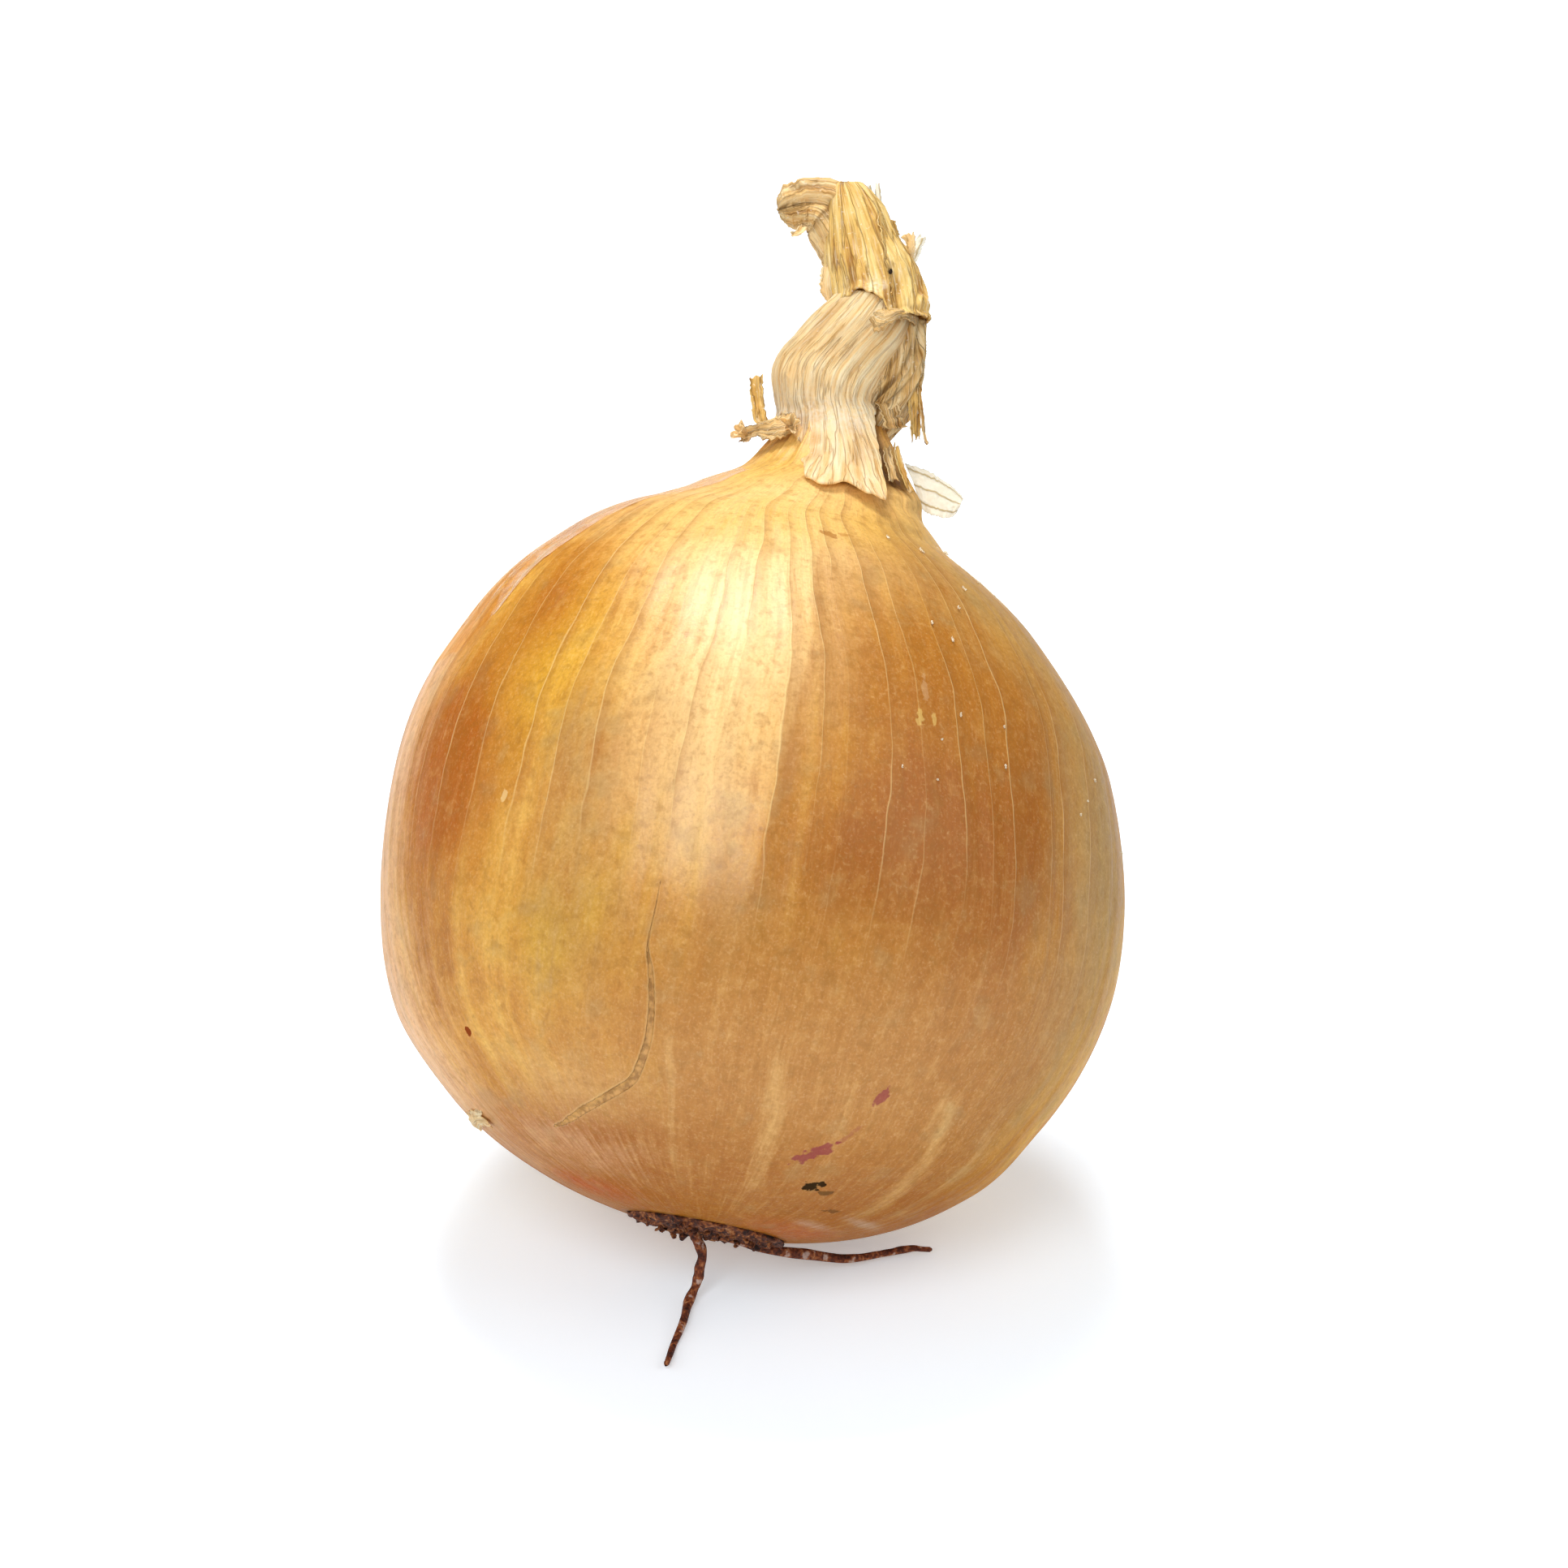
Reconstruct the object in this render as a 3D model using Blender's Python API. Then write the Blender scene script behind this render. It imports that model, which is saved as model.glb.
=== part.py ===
"""A brown onion as it comes to rest: the bulb, its dried neck, its root plate and a scrap of loose skin.

Everything is modelled in millimetres about the onion's own axis. The origin is the bulb's middle, +Z runs up
the axis to the neck, +X is the side that the onion leans to, and -Y is the side that shows the root plate.
An empty then leans the onion back and over, in metres, until it rests on a small flat spot at the origin.
"""

import math
import random

import bmesh
import bpy
from mathutils import Matrix, Vector

MM = 0.001

# The bulb: an egg of two half ovals, with a flare up to the neck
BULB_RADIUS = 39.0
BULB_DEPTH = 36.8
BULB_RISE = 41.0
LOWER_FULLNESS = 2.22
SHOULDER_RADIUS = 16.4
NECK_RADIUS = 5.0
NECK_FOOT = 49.8
SHOULDER_HANDLE = (-4.9, 3.4)
NECK_HANDLE = (3.2, -7.2)
VEINS = 56
VEIN_JITTER = 0.32
RIB_OUT = 0.2
RIB_IN = 0.18
LOWER_ROWS = 10
UPPER_ROWS = 8
FLARE_ROWS = 7

# How far the middle of the bulb lies off its axis, at each height
DRIFT = [
    (-37, 2.0),
    (-28, 1.1),
    (-20, 0.1),
    (-6, 0.3),
    (17, -0.8),
    (30, -2.1),
    (36, -2.8),
    (40, -1.4),
    (43, 0.3),
    (46, 0.1),
    (50, -0.5),
]

# Soft lobes round the bulb, as how many, how far they stand out as a share of its radius, and where they start
LOBES = [(3, 0.006, 0.8), (5, 0.004, 2.1)]

# How veins sway, in radians, as how far, how often up the bulb, and how the sway changes round it
SWAYS = [(0.035, 2.3, 3), (0.012, 6, 5)]

# Ribs flatten out where the bulb is narrower than this
RIB_FADE_RADIUS = 20

# The way it rests
LEAN_RIGHT = math.radians(10.7)
LEAN_BACK = math.radians(33.5)
FLAT_SPOT_DEPTH = 0.5

# The cut between the amber bulb and the straw-coloured neck, and the gap between touching pieces
JOINT_HEIGHT = 45.0
JOINT_SLANT = math.radians(8)
GAP = 0.35

# The root plate and its roots
PLATE_RADIUS = 8.4
PLATE_SEAT_DEPTH = 0.7
SEAT_TAPER = 0.97
PLATE_SHOULDER = 0.955
PLATE_PROFILE = [(0.93, 0), (0.955, -0.45), (1.0, -0.9), (0.94, -1.25), (0.7, -1.5), (0.3, -1.2)]
PLATE_SCALLOPS = [(5, 0.035, 1), (11, 0.02, 0)]
PLATE_SIDES = 36
STUB_RINGS = [(3.0, 7), (5.6, 13)]
STUB_RADIUS = 0.5
STUB_LENGTH = 1.2
STUB_FOOT = 0.9
ROOT_RADIUS = 0.6
ROOT_SIDES = 7

# Thin dry skin, thicker than life so that it is a sound solid
SKIN = 0.7
SKIRT_CLEARANCE = 0.9
SKIRT_FROM = math.radians(-108)
SKIRT_TO = math.radians(-8)
SKIRT_STEPS = 22
SKIRT_TOP = 2.6
SKIRT_HANG = 1.9
SKIRT_SLOPE = 1.2
SKIRT_RAGGED = 0.3

COLOURS = {
    "amber_skin": ((0.60, 0.32, 0.09), 0.42),
    "straw_sheath": ((0.78, 0.58, 0.28), 0.75),
    "clear_film": ((0.86, 0.80, 0.62), 0.35),
    "corky_root": ((0.16, 0.055, 0.02), 0.85),
}


def clear_scene():
    for obj in list(bpy.data.objects):
        bpy.data.objects.remove(obj, do_unlink=True)


def material(name):
    colour, roughness = COLOURS[name]
    made = bpy.data.materials.new(name)
    made.use_nodes = True
    shader = made.node_tree.nodes["Principled BSDF"]
    shader.inputs["Base Color"].default_value = (*colour, 1)
    shader.inputs["Roughness"].default_value = roughness
    return made


def smooth_step(x):
    x = min(max(x, 0.0), 1.0)
    return x * x * (3 - 2 * x)


def through(points, x):
    """A smooth curve's value at x, through (x, value) points."""
    if x <= points[0][0]:
        return points[0][1]
    for (x0, v0), (x1, v1) in zip(points, points[1:]):
        if x <= x1:
            return v0 + (v1 - v0) * smooth_step((x - x0) / (x1 - x0))
    return points[-1][1]


def spline(points, steps):
    """Points along a smooth curve through the given ones, each any number of values long."""
    ends = [points[0], *points, points[-1]]
    out = []
    for a, b, c, d in zip(ends, ends[1:], ends[2:], ends[3:]):
        for k in range(steps):
            t = k / steps
            out.append(
                [
                    0.5 * (2 * q + (r - p) * t + (2 * p - 5 * q + 4 * r - s) * t * t + (3 * q - p - 3 * r + s) * t**3)
                    for p, q, r, s in zip(a, b, c, d)
                ]
            )
    out.append(list(points[-1]))
    return out


def lower_profile():
    """(radius, height) from the plate's seat up to just under the widest ring."""
    seat_turn = math.acos((PLATE_RADIUS / BULB_RADIUS) ** (LOWER_FULLNESS / 2))
    rows = []
    for k in range(LOWER_ROWS):
        turn = seat_turn * (1 - k / LOWER_ROWS)
        radius = BULB_RADIUS * math.cos(turn) ** (2 / LOWER_FULLNESS)
        height = -BULB_DEPTH * math.sin(turn) ** (2 / LOWER_FULLNESS)
        rows.append((radius, height))
    return rows


def upper_profile():
    """(radius, height) from the widest ring up to where the flare begins."""
    shoulder_turn = math.acos(SHOULDER_RADIUS / BULB_RADIUS)
    turns = [shoulder_turn * k / UPPER_ROWS for k in range(UPPER_ROWS)]
    return [(BULB_RADIUS * math.cos(turn), BULB_RISE * math.sin(turn)) for turn in turns]


def flare_profile():
    """(radius, height) along the hollow curve that turns the shoulder up into the neck."""
    shoulder_turn = math.acos(SHOULDER_RADIUS / BULB_RADIUS)
    start = Vector((SHOULDER_RADIUS, BULB_RISE * math.sin(shoulder_turn)))
    end = Vector((NECK_RADIUS, NECK_FOOT))
    handles = [start, start + Vector(SHOULDER_HANDLE), end + Vector(NECK_HANDLE), end]
    rows = []
    for k in range(FLARE_ROWS + 1):
        t = k / FLARE_ROWS
        weights = ((1 - t) ** 3, 3 * t * (1 - t) ** 2, 3 * t * t * (1 - t), t**3)
        rows.append(tuple(sum((w * h for w, h in zip(weights, handles)), Vector((0, 0)))))
    return rows


def whole_profile():
    return [*lower_profile(), *upper_profile(), *flare_profile()]


def radius_at(height):
    """The bulb's radius at a height, between the plate's seat and the neck's foot."""
    rows = whole_profile()
    for (r0, z0), (r1, z1) in zip(rows, rows[1:]):
        if height <= z1:
            return r0 + (r1 - r0) * (height - z0) / (z1 - z0)
    return rows[-1][0]


def vein_turns():
    """The turn round the axis of each vein, from +X, unevenly spaced as they grow."""
    draw = random.Random(7)
    return [2 * math.pi * (k + VEIN_JITTER * draw.uniform(-1, 1)) / VEINS for k in range(VEINS)]


def vein_wander(turn, height):
    """How far a vein sways sideways at a height, in radians."""
    rise = height / BULB_RISE
    return sum(far * math.sin(up * rise + round_ * turn) for far, up, round_ in SWAYS)


def body_point(turn, radius, height, relief=0.0):
    """A point of the bulb's surface: slightly lobed, and drifting off its axis with height."""
    lobes = 1 + sum(out * math.cos(count * turn + start) for count, out, start in LOBES)
    reach = radius * lobes + relief
    return Vector((through(DRIFT, height) + reach * math.cos(turn), reach * math.sin(turn), height))


def ring_mesh(rings):
    """A closed bmesh from rings of points, each ring the same length, with a fan over each end."""
    made = bmesh.new()
    rows = [[made.verts.new(point) for point in ring] for ring in rings]
    count = len(rings[0])
    for low, high in zip(rows, rows[1:]):
        for k in range(count):
            after = (k + 1) % count
            made.faces.new((low[k], low[after], high[after], high[k]))
    for row in (rows[0], rows[-1]):
        middle = made.verts.new(sum((vert.co for vert in row), Vector()) / count)
        for k in range(count):
            made.faces.new((row[k], row[(k + 1) % count], middle))
    bmesh.ops.recalc_face_normals(made, faces=made.faces)
    return made


def cut_away(made, point, normal):
    """Cuts off what lies beyond a plane and closes the cut with one flat face."""
    everything = [*made.verts, *made.edges, *made.faces]
    cut = bmesh.ops.bisect_plane(
        made, geom=everything, dist=0.001, plane_co=point, plane_no=normal, clear_outer=True
    )
    edges = [item for item in cut["geom_cut"] if isinstance(item, bmesh.types.BMEdge)]
    bmesh.ops.contextual_create(made, geom=edges)
    bmesh.ops.recalc_face_normals(made, faces=made.faces)


def resting_turn():
    return Matrix.Rotation(-LEAN_BACK, 3, "X") @ Matrix.Rotation(LEAN_RIGHT, 3, "Y")


def add_object(name, made, finish, lean):
    """One object from a bmesh in millimetres, carried by the leaning empty."""
    bmesh.ops.scale(made, vec=(MM, MM, MM), verts=made.verts)
    mesh = bpy.data.meshes.new(name)
    made.to_mesh(mesh)
    made.free()
    mesh.shade_smooth()
    mesh.set_sharp_from_angle(angle=math.radians(50))
    mesh.materials.append(finish)
    obj = bpy.data.objects.new(name, mesh)
    bpy.context.scene.collection.objects.link(obj)
    obj.parent = lean
    return obj


def bulb_mesh():
    rings = []
    turns = vein_turns()
    seat_radius, seat_height = lower_profile()[0]
    seat_middle = seat_height + PLATE_SEAT_DEPTH
    for radius, height in whole_profile():
        fade = smooth_step(radius / RIB_FADE_RADIUS)
        ring = []
        for k, turn in enumerate(turns):
            after = turns[k + 1] if k + 1 < VEINS else turns[0] + 2 * math.pi
            between = (turn + after) / 2
            ring.append(body_point(turn + vein_wander(turn, height), radius, height, RIB_OUT * fade))
            ring.append(body_point(between + vein_wander(between, height), radius, height, -RIB_IN * fade))
        rings.append(ring)
    seat = Vector((through(DRIFT, seat_height), 0, seat_middle))
    inner = [Vector((*(seat.xy + (point.xy - seat.xy) * SEAT_TAPER), seat_middle)) for point in rings[0]]
    return ring_mesh([inner, *rings])


def joint_plane():
    """A point and the upward normal of the slanted cut between bulb and neck."""
    normal = Vector((math.sin(JOINT_SLANT), 0, math.cos(JOINT_SLANT)))
    return Vector((through(DRIFT, JOINT_HEIGHT), 0, JOINT_HEIGHT)), normal


def floor_height(made):
    """How far along the resting direction the floor lies from the bulb's middle."""
    down = resting_turn().transposed() @ Vector((0, 0, -1))
    return down, max(vert.co @ down for vert in made.verts) - FLAT_SPOT_DEPTH


def flat_spot_middle(made, down, reach):
    """The centre of the flat spot's outline, in the onion's own frame."""
    corners = [vert.co for vert in made.verts if abs(vert.co @ down - reach) < 0.01]
    return sum(corners, Vector()) / len(corners)


# The split in the outer skin, as turn round the axis in degrees and height
CRACK = [
    (-102.2, -7.7),
    (-102.5, -12.9),
    (-101.4, -15.5),
    (-100.7, -19.3),
    (-101.4, -22.0),
    (-104.6, -25.1),
    (-108.6, -26.5),
    (-113.5, -27.7),
    (-119.9, -29.0),
    (-126.0, -30.0),
]
CRACK_WIDTH = 0.85
CRACK_DEPTH = 0.5


def crack_cutter():
    """A thin wedge that follows the split over the bulb's surface and tapers at both ends."""
    path = [body_point(math.radians(turn), radius_at(height), height) for turn, height in CRACK]
    rings = []
    for k, point in enumerate(path):
        out = point.normalized()
        along = (path[min(k + 1, len(path) - 1)] - path[max(k - 1, 0)]).normalized()
        taper = math.sin(math.pi * (k + 0.35) / (len(path) - 0.3)) ** 0.5
        side = out.cross(along).normalized() * CRACK_WIDTH * taper / 2
        high, low = point + out, point - out * CRACK_DEPTH
        rings.append([high - side, high + side, low + side * 0.5, low - side * 0.5])
    return ring_mesh(rings)


def cut_with(obj, cutter):
    cutter.hide_render = True
    cutter.display_type = "WIRE"
    cut = obj.modifiers.new("split", "BOOLEAN")
    cut.operation = "DIFFERENCE"
    cut.object = cutter
    cut.solver = "EXACT"


def build_bulb(lean, finish):
    made = bulb_mesh()
    point, normal = joint_plane()
    cut_away(made, point, normal)
    down, reach = floor_height(made)
    cut_away(made, down * reach, down)
    spot = flat_spot_middle(made, down, reach)
    bulb = add_object("bulb", made, finish, lean)
    cut_with(bulb, add_object("split_cutter", crack_cutter(), finish, lean))
    return spot


def section(centre, along, half_width, half_depth, turn, pleats):
    """One ring of a folded sheath: an oval across the spine, with a radial offset for each column."""
    wide = Vector((0, 1, 0)).cross(along).normalized()
    deep = along.cross(wide)
    ring = []
    for k, pleat in enumerate(pleats):
        angle = 2 * math.pi * k / len(pleats)
        out = wide * math.cos(angle) * (half_width + pleat) + deep * math.sin(angle) * (half_depth + pleat)
        ring.append(centre + Matrix.Rotation(turn, 3, along) @ out)
    return ring


def pleat_pattern(columns, depth, seed):
    """Alternate ridges and grooves of uneven height, one value for each column."""
    draw = random.Random(seed)
    return [depth * draw.uniform(0.35, 1) * (1 if k % 2 else -1) for k in range(columns)]


def sheath(stations, steps, columns, pleat_depth, seed, hem=0.0, follow=1.0):
    """A pleated sheath along a spine. Each station is x, y, z, half width, half depth and turn in degrees."""
    rows = spline(stations, steps)
    centres = [Vector(row[:3]) for row in rows]
    pattern = pleat_pattern(columns, pleat_depth, seed)
    draw = random.Random(seed + 1)
    ragged = [draw.uniform(-1, 1) for _ in range(columns)]
    rings = []
    for k, row in enumerate(rows):
        along = (centres[min(k + 1, len(rows) - 1)] - centres[max(k - 1, 0)]).normalized()
        along = Vector((0, 0, 1)).lerp(along, follow).normalized()
        fade = 1 if k < len(rows) - 2 else 0.5
        ring = section(centres[k], along, row[3], row[4], math.radians(row[5]), [p * fade for p in pattern])
        if k == 0 and hem:
            ring = [point + along * (hem * ragged[j]) for j, point in enumerate(ring)]
        rings.append(ring)
    return ring_mesh(rings)


def blade(edges):
    """A thin strip between two edges, given as pairs of points. Both faces are split along the same diagonals."""
    pairs = [(Vector(a), Vector(b)) for a, b in edges]
    made = bmesh.new()
    rows = []
    for k, (a, b) in enumerate(pairs):
        before, after = pairs[max(k - 1, 0)], pairs[min(k + 1, len(pairs) - 1)]
        along = (after[0] + after[1]) - (before[0] + before[1])
        thick = along.cross(b - a).normalized() * SKIN / 2
        rows.append([made.verts.new(point) for point in (a - thick, b - thick, b + thick, a + thick)])
    for low, high in zip(rows, rows[1:]):
        made.faces.new((low[0], low[1], high[1]))
        made.faces.new((low[0], high[1], high[0]))
        made.faces.new((low[3], high[2], low[2]))
        made.faces.new((low[3], high[3], high[2]))
        made.faces.new((low[1], low[2], high[2], high[1]))
        made.faces.new((low[3], low[0], high[0], high[3]))
    made.faces.new(reversed(rows[0]))
    made.faces.new(rows[-1])
    bmesh.ops.recalc_face_normals(made, faces=made.faces)
    return made


def skirt():
    """The torn foot of the outer sheath, which hangs over the front of the bulb's shoulder."""
    draw = random.Random(5)
    top = JOINT_HEIGHT + SKIRT_TOP
    rings = []
    for k in range(SKIRT_STEPS + 1):
        turn = SKIRT_FROM + (SKIRT_TO - SKIRT_FROM) * k / SKIRT_STEPS
        hang = SKIRT_HANG + SKIRT_SLOPE * smooth_step(k / SKIRT_STEPS) + SKIRT_RAGGED * draw.uniform(-1, 1)
        hem = JOINT_HEIGHT - hang
        ring = []
        for height, lift in ((hem, SKIRT_CLEARANCE), (top, -0.2), (top, SKIN - 0.1), (hem, SKIRT_CLEARANCE + SKIN)):
            ring.append(body_point(turn, radius_at(height) + lift, height))
        rings.append(ring)
    return ring_mesh(rings)


# Each station of a sheath: x, y, z of its middle, half width, half depth, turn in degrees
LOWER_SHEATH = [
    (0.3, 0, 43.4, 9.0, 8.8, 0),
    (0.3, 0, 45.4, 7.6, 7.3, 0),
    (0, 0, 47.0, 6.4, 6.0, 2),
    (-0.3, 0, 48.6, 5.6, 5.1, 6),
    (-0.6, 0, 51.0, 5.1, 4.5, 10),
]
FRONT_FOLD = [
    (-1.0, -0.3, 47.6, 4.6, 3.9, 0),
    (-1.9, -0.5, 49.8, 5.3, 4.6, 4),
    (-2.1, -0.5, 52.6, 5.8, 4.7, 8),
    (-1.0, -0.3, 56.2, 5.4, 4.3, 12),
    (0.4, 0, 59.6, 5.0, 3.9, 14),
    (1.6, 0.2, 62.6, 4.5, 3.6, 16),
]
BACK_FOLD = [
    (3.2, 1.4, 48.6, 2.2, 2.4, 0),
    (4.3, 1.5, 51.0, 2.6, 3.0, -6),
    (4.7, 1.5, 54.2, 2.9, 3.2, -10),
    (4.5, 1.3, 57.8, 2.8, 3.0, -12),
    (3.9, 0.8, 61.8, 2.5, 2.6, -14),
]
UPPER_SHEATH = [
    (1.9, 0, 60.0, 5.2, 4.2, 0),
    (1.7, 0, 62.2, 5.1, 4.0, 0),
    (0.9, 0.2, 64.8, 4.6, 3.6, 4),
    (-0.1, 0.4, 67.6, 4.2, 3.3, 8),
    (-1.4, 0.9, 70.4, 4.0, 3.1, 10),
    (-3.9, 1.6, 72.9, 3.4, 3.0, 8),
    (-6.6, 2.3, 73.0, 2.8, 2.7, 4),
    (-8.8, 2.7, 72.3, 2.4, 2.3, 0),
    (-10.5, 2.8, 71.7, 1.6, 1.6, 0),
]

# Each shred: pairs of points, x, y, z, one on each of its edges
SPIKE = [
    ((-9.9, -1.4, 51.9), (-8.9, -1.6, 52.6)),
    ((-9.3, -1.8, 49.4), (-8.0, -1.9, 49.8)),
    ((-8.8, -2.0, 47.3), (-7.4, -2.1, 48.2)),
    ((-7.2, -2.6, 47.0), (-6.4, -2.8, 48.2)),
    ((-4.0, -2.0, 47.6), (-3.8, -2.0, 49.2)),
]
CURL = [
    ((-3.6, -4.0, 48.8), (-3.2, -5.0, 47.2)),
    ((-5.6, -5.0, 48.1), (-5.4, -6.0, 46.4)),
    ((-7.9, -3.6, 47.3), (-7.7, -4.2, 45.7)),
    ((-10.1, -1.6, 46.6), (-10.1, -1.8, 45.2)),
]
HANGING_STRIP = [
    ((4.7, 0.8, 57.3), (7.0, 1.0, 57.7)),
    ((5.8, 0, 54.9), (7.7, 0.2, 55.4)),
    ((6.7, -0.4, 52.0), (8.3, -0.2, 52.7)),
    ((7.8, -0.6, 48.7), (9.3, -0.4, 49.4)),
]
TORN_CORNER = [
    ((3.6, -1.6, 52.4), (5.6, -1.0, 53.0)),
    ((4.7, -2.0, 50.3), (6.5, -1.2, 50.8)),
    ((5.5, -2.0, 49.0), (6.7, -1.4, 49.4)),
]
FORK = [
    ((3.0, 0.6, 64.9), (5.0, 0.8, 65.1)),
    ((4.0, 0.4, 67.1), (5.1, 0.6, 67.1)),
    ((4.5, 0.4, 69.3), (5.5, 0.6, 69.3)),
    ((4.6, 0.4, 70.8), (5.3, 0.5, 70.6)),
]
TOP_STRIP = [
    ((-1.8, 0.4, 71.5), (0.6, 0.6, 71.8)),
    ((-1.5, 0.2, 73.5), (0.2, 0.4, 73.8)),
    ((-1.4, 0.4, 75.2), (-0.3, 0.5, 75.2)),
]
LEFT_FLAP = [
    ((-4.2, -0.8, 61.9), (-2.6, -1.0, 61.7)),
    ((-4.8, -0.8, 64.0), (-3.0, -1.0, 64.1)),
    ((-4.7, -0.6, 66.0), (-3.4, -0.8, 66.1)),
]
SHREDS = [SPIKE, CURL, HANGING_STRIP, TORN_CORNER, FORK, TOP_STRIP, LEFT_FLAP]
CLEAR_SCRAP = [
    ((8.6, 0.6, 46.4), (10.7, 0.2, 42.7)),
    ((10.0, 0.9, 46.3), (11.4, 0, 42.0)),
    ((11.6, 1.3, 45.9), (12.2, 0, 41.8)),
    ((13.0, 1.5, 45.3), (13.0, 0.4, 41.9)),
    ((14.4, 1.3, 44.3), (13.8, 0.8, 42.2)),
]


def islands(made):
    """The separate closed shells of a bmesh, as lists of faces."""
    left = set(made.faces)
    found = []
    while left:
        shell, front = [], [left.pop()]
        while front:
            face = front.pop()
            shell.append(face)
            near = {other for edge in face.edges for other in edge.link_faces} & left
            left -= near
            front.extend(near)
        found.append(shell)
    return found


def keep_outer_shell(mesh):
    """Fills the hollows that the union sealed and drops loose scraps, by keeping the largest shell alone."""
    made = bmesh.new()
    made.from_mesh(mesh)
    shells = sorted(islands(made), key=lambda shell: sum(face.calc_area() for face in shell))
    spare = [face for shell in shells[:-1] for face in shell]
    bmesh.ops.delete(made, geom=spare, context="FACES")
    made.to_mesh(mesh)
    made.free()


def union_all(name, meshes, finish, lean):
    """One object from overlapping shapes, joined by a Boolean union that is applied."""
    body, *others = meshes
    obj = add_object(name, body, finish, lean)
    extras = bpy.data.collections.new(name + "_extras")
    bpy.context.scene.collection.children.link(extras)
    for k, shape in enumerate(others):
        extra = add_object(f"{name}_extra_{k}", shape, finish, lean)
        bpy.context.scene.collection.objects.unlink(extra)
        extras.objects.link(extra)
    join = obj.modifiers.new("join", "BOOLEAN")
    join.operation = "UNION"
    join.operand_type = "COLLECTION"
    join.collection = extras
    join.solver = "EXACT"
    graph = bpy.context.evaluated_depsgraph_get()
    joined = bpy.data.meshes.new_from_object(obj.evaluated_get(graph))
    obj.modifiers.clear()
    keep_outer_shell(joined)
    obj.data = joined
    for extra in list(extras.objects):
        bpy.data.objects.remove(extra, do_unlink=True)
    bpy.data.collections.remove(extras)
    return obj


def build_neck(lean, finish):
    foot = sheath(LOWER_SHEATH, 2, 44, 0.28, 11)
    point, normal = joint_plane()
    cut_away(foot, point + normal * GAP, -normal)
    folds = [
        sheath(FRONT_FOLD, 2, 40, 0.34, 12, follow=0.4),
        sheath(BACK_FOLD, 2, 26, 0.38, 13),
        sheath(UPPER_SHEATH, 2, 40, 0.34, 14, hem=0.6),
        skirt(),
    ]
    union_all("neck", [foot, *folds, *[blade(shred) for shred in SHREDS]], finish, lean)


def build_flake(lean, finish):
    """The scrap of clear film at the right of the neck's foot."""
    add_object("skin_flake", blade(CLEAR_SCRAP), finish, lean)


def plate_mesh(seat_height):
    """A corky disc with a scalloped rim and a shallow dish."""
    top = seat_height + PLATE_SEAT_DEPTH - GAP
    middle = through(DRIFT, seat_height)
    rings = []
    for radius, height in PLATE_PROFILE:
        ring = []
        for k in range(PLATE_SIDES):
            turn = 2 * math.pi * k / PLATE_SIDES
            rim = 1 + sum(out * math.sin(count * turn + start) for count, out, start in PLATE_SCALLOPS)
            limit = min(radius * rim, PLATE_SHOULDER) if height > -PLATE_SEAT_DEPTH else radius * rim
            reach = PLATE_RADIUS * limit
            ring.append(Vector((middle + reach * math.cos(turn), reach * math.sin(turn), top + height)))
        rings.append(ring)
    return ring_mesh(rings)


def tube(path, radius, sides=ROOT_SIDES):
    """A dried root: a tube along a path that thins towards its tip and shrivels unevenly."""
    centres = [Vector(point) for point in path]
    rings = []
    for k, centre in enumerate(centres):
        along = (centres[min(k + 1, len(centres) - 1)] - centres[max(k - 1, 0)]).normalized()
        wide = along.cross(Vector((0.3, 0.2, 1))).normalized()
        deep = along.cross(wide)
        thin = radius * (1 - 0.35 * k / (len(centres) - 1))
        ring = []
        for j in range(sides):
            angle = 2 * math.pi * j / sides
            reach = thin * (1 + 0.12 * math.sin(1.7 * k + 2 * j))
            ring.append(centre + wide * reach * math.cos(angle) + deep * reach * math.sin(angle))
        rings.append(ring)
    return ring_mesh(rings)


def root_stubs(seat_height):
    """The short ends of the roots that broke off, in rings on the plate's face."""
    draw = random.Random(3)
    base = seat_height + PLATE_SEAT_DEPTH - GAP - STUB_FOOT
    middle = through(DRIFT, seat_height)
    stubs = []
    for radius, count in STUB_RINGS:
        for k in range(count):
            turn = 2 * math.pi * (k + 0.3 * draw.random()) / count
            foot = Vector((middle + radius * math.cos(turn), radius * math.sin(turn), base))
            lean_out = Vector((0.5 * math.cos(turn), 0.5 * math.sin(turn), -1)).normalized()
            length = STUB_LENGTH * draw.uniform(0.7, 1.2)
            stubs.append(tube([foot, foot + lean_out * length * 0.6, foot + lean_out * length], STUB_RADIUS, 5))
    return stubs


# The long dried roots, as they lie on the surface, in millimetres from the resting spot
FRONT_ROOT = [
    (-7.9, -20.6, 7.4),
    (-7.0, -21.4, 5.0),
    (-7.0, -21.5, 3.2),
    (-7.6, -22.4, 1.7),
    (-8.3, -24.4, 0.9),
    (-8.9, -28.0, 0.7),
    (-9.6, -33.6, 0.65),
    (-10.5, -38.9, 0.65),
]
SIDE_ROOT = [
    (-5.0, -20.0, 6.4),
    (-1.6, -19.8, 5.0),
    (2.3, -18.8, 3.6),
    (7.0, -16.8, 1.9),
    (11.3, -14.5, 1.1),
    (14.4, -12.6, 0.8),
    (17.2, -11.6, 0.65),
]


def build_root_plate(lean, finish):
    seat_height = lower_profile()[0][1]
    to_own_frame = lean.matrix_world.inverted()
    shapes = [plate_mesh(seat_height), *root_stubs(seat_height)]
    for path in (FRONT_ROOT, SIDE_ROOT):
        own = [tuple(to_own_frame @ (Vector(point) * MM) / MM) for point in path]
        shapes.append(tube(spline(own, 3), ROOT_RADIUS))
    union_all("root_plate", shapes, finish, lean)


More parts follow.
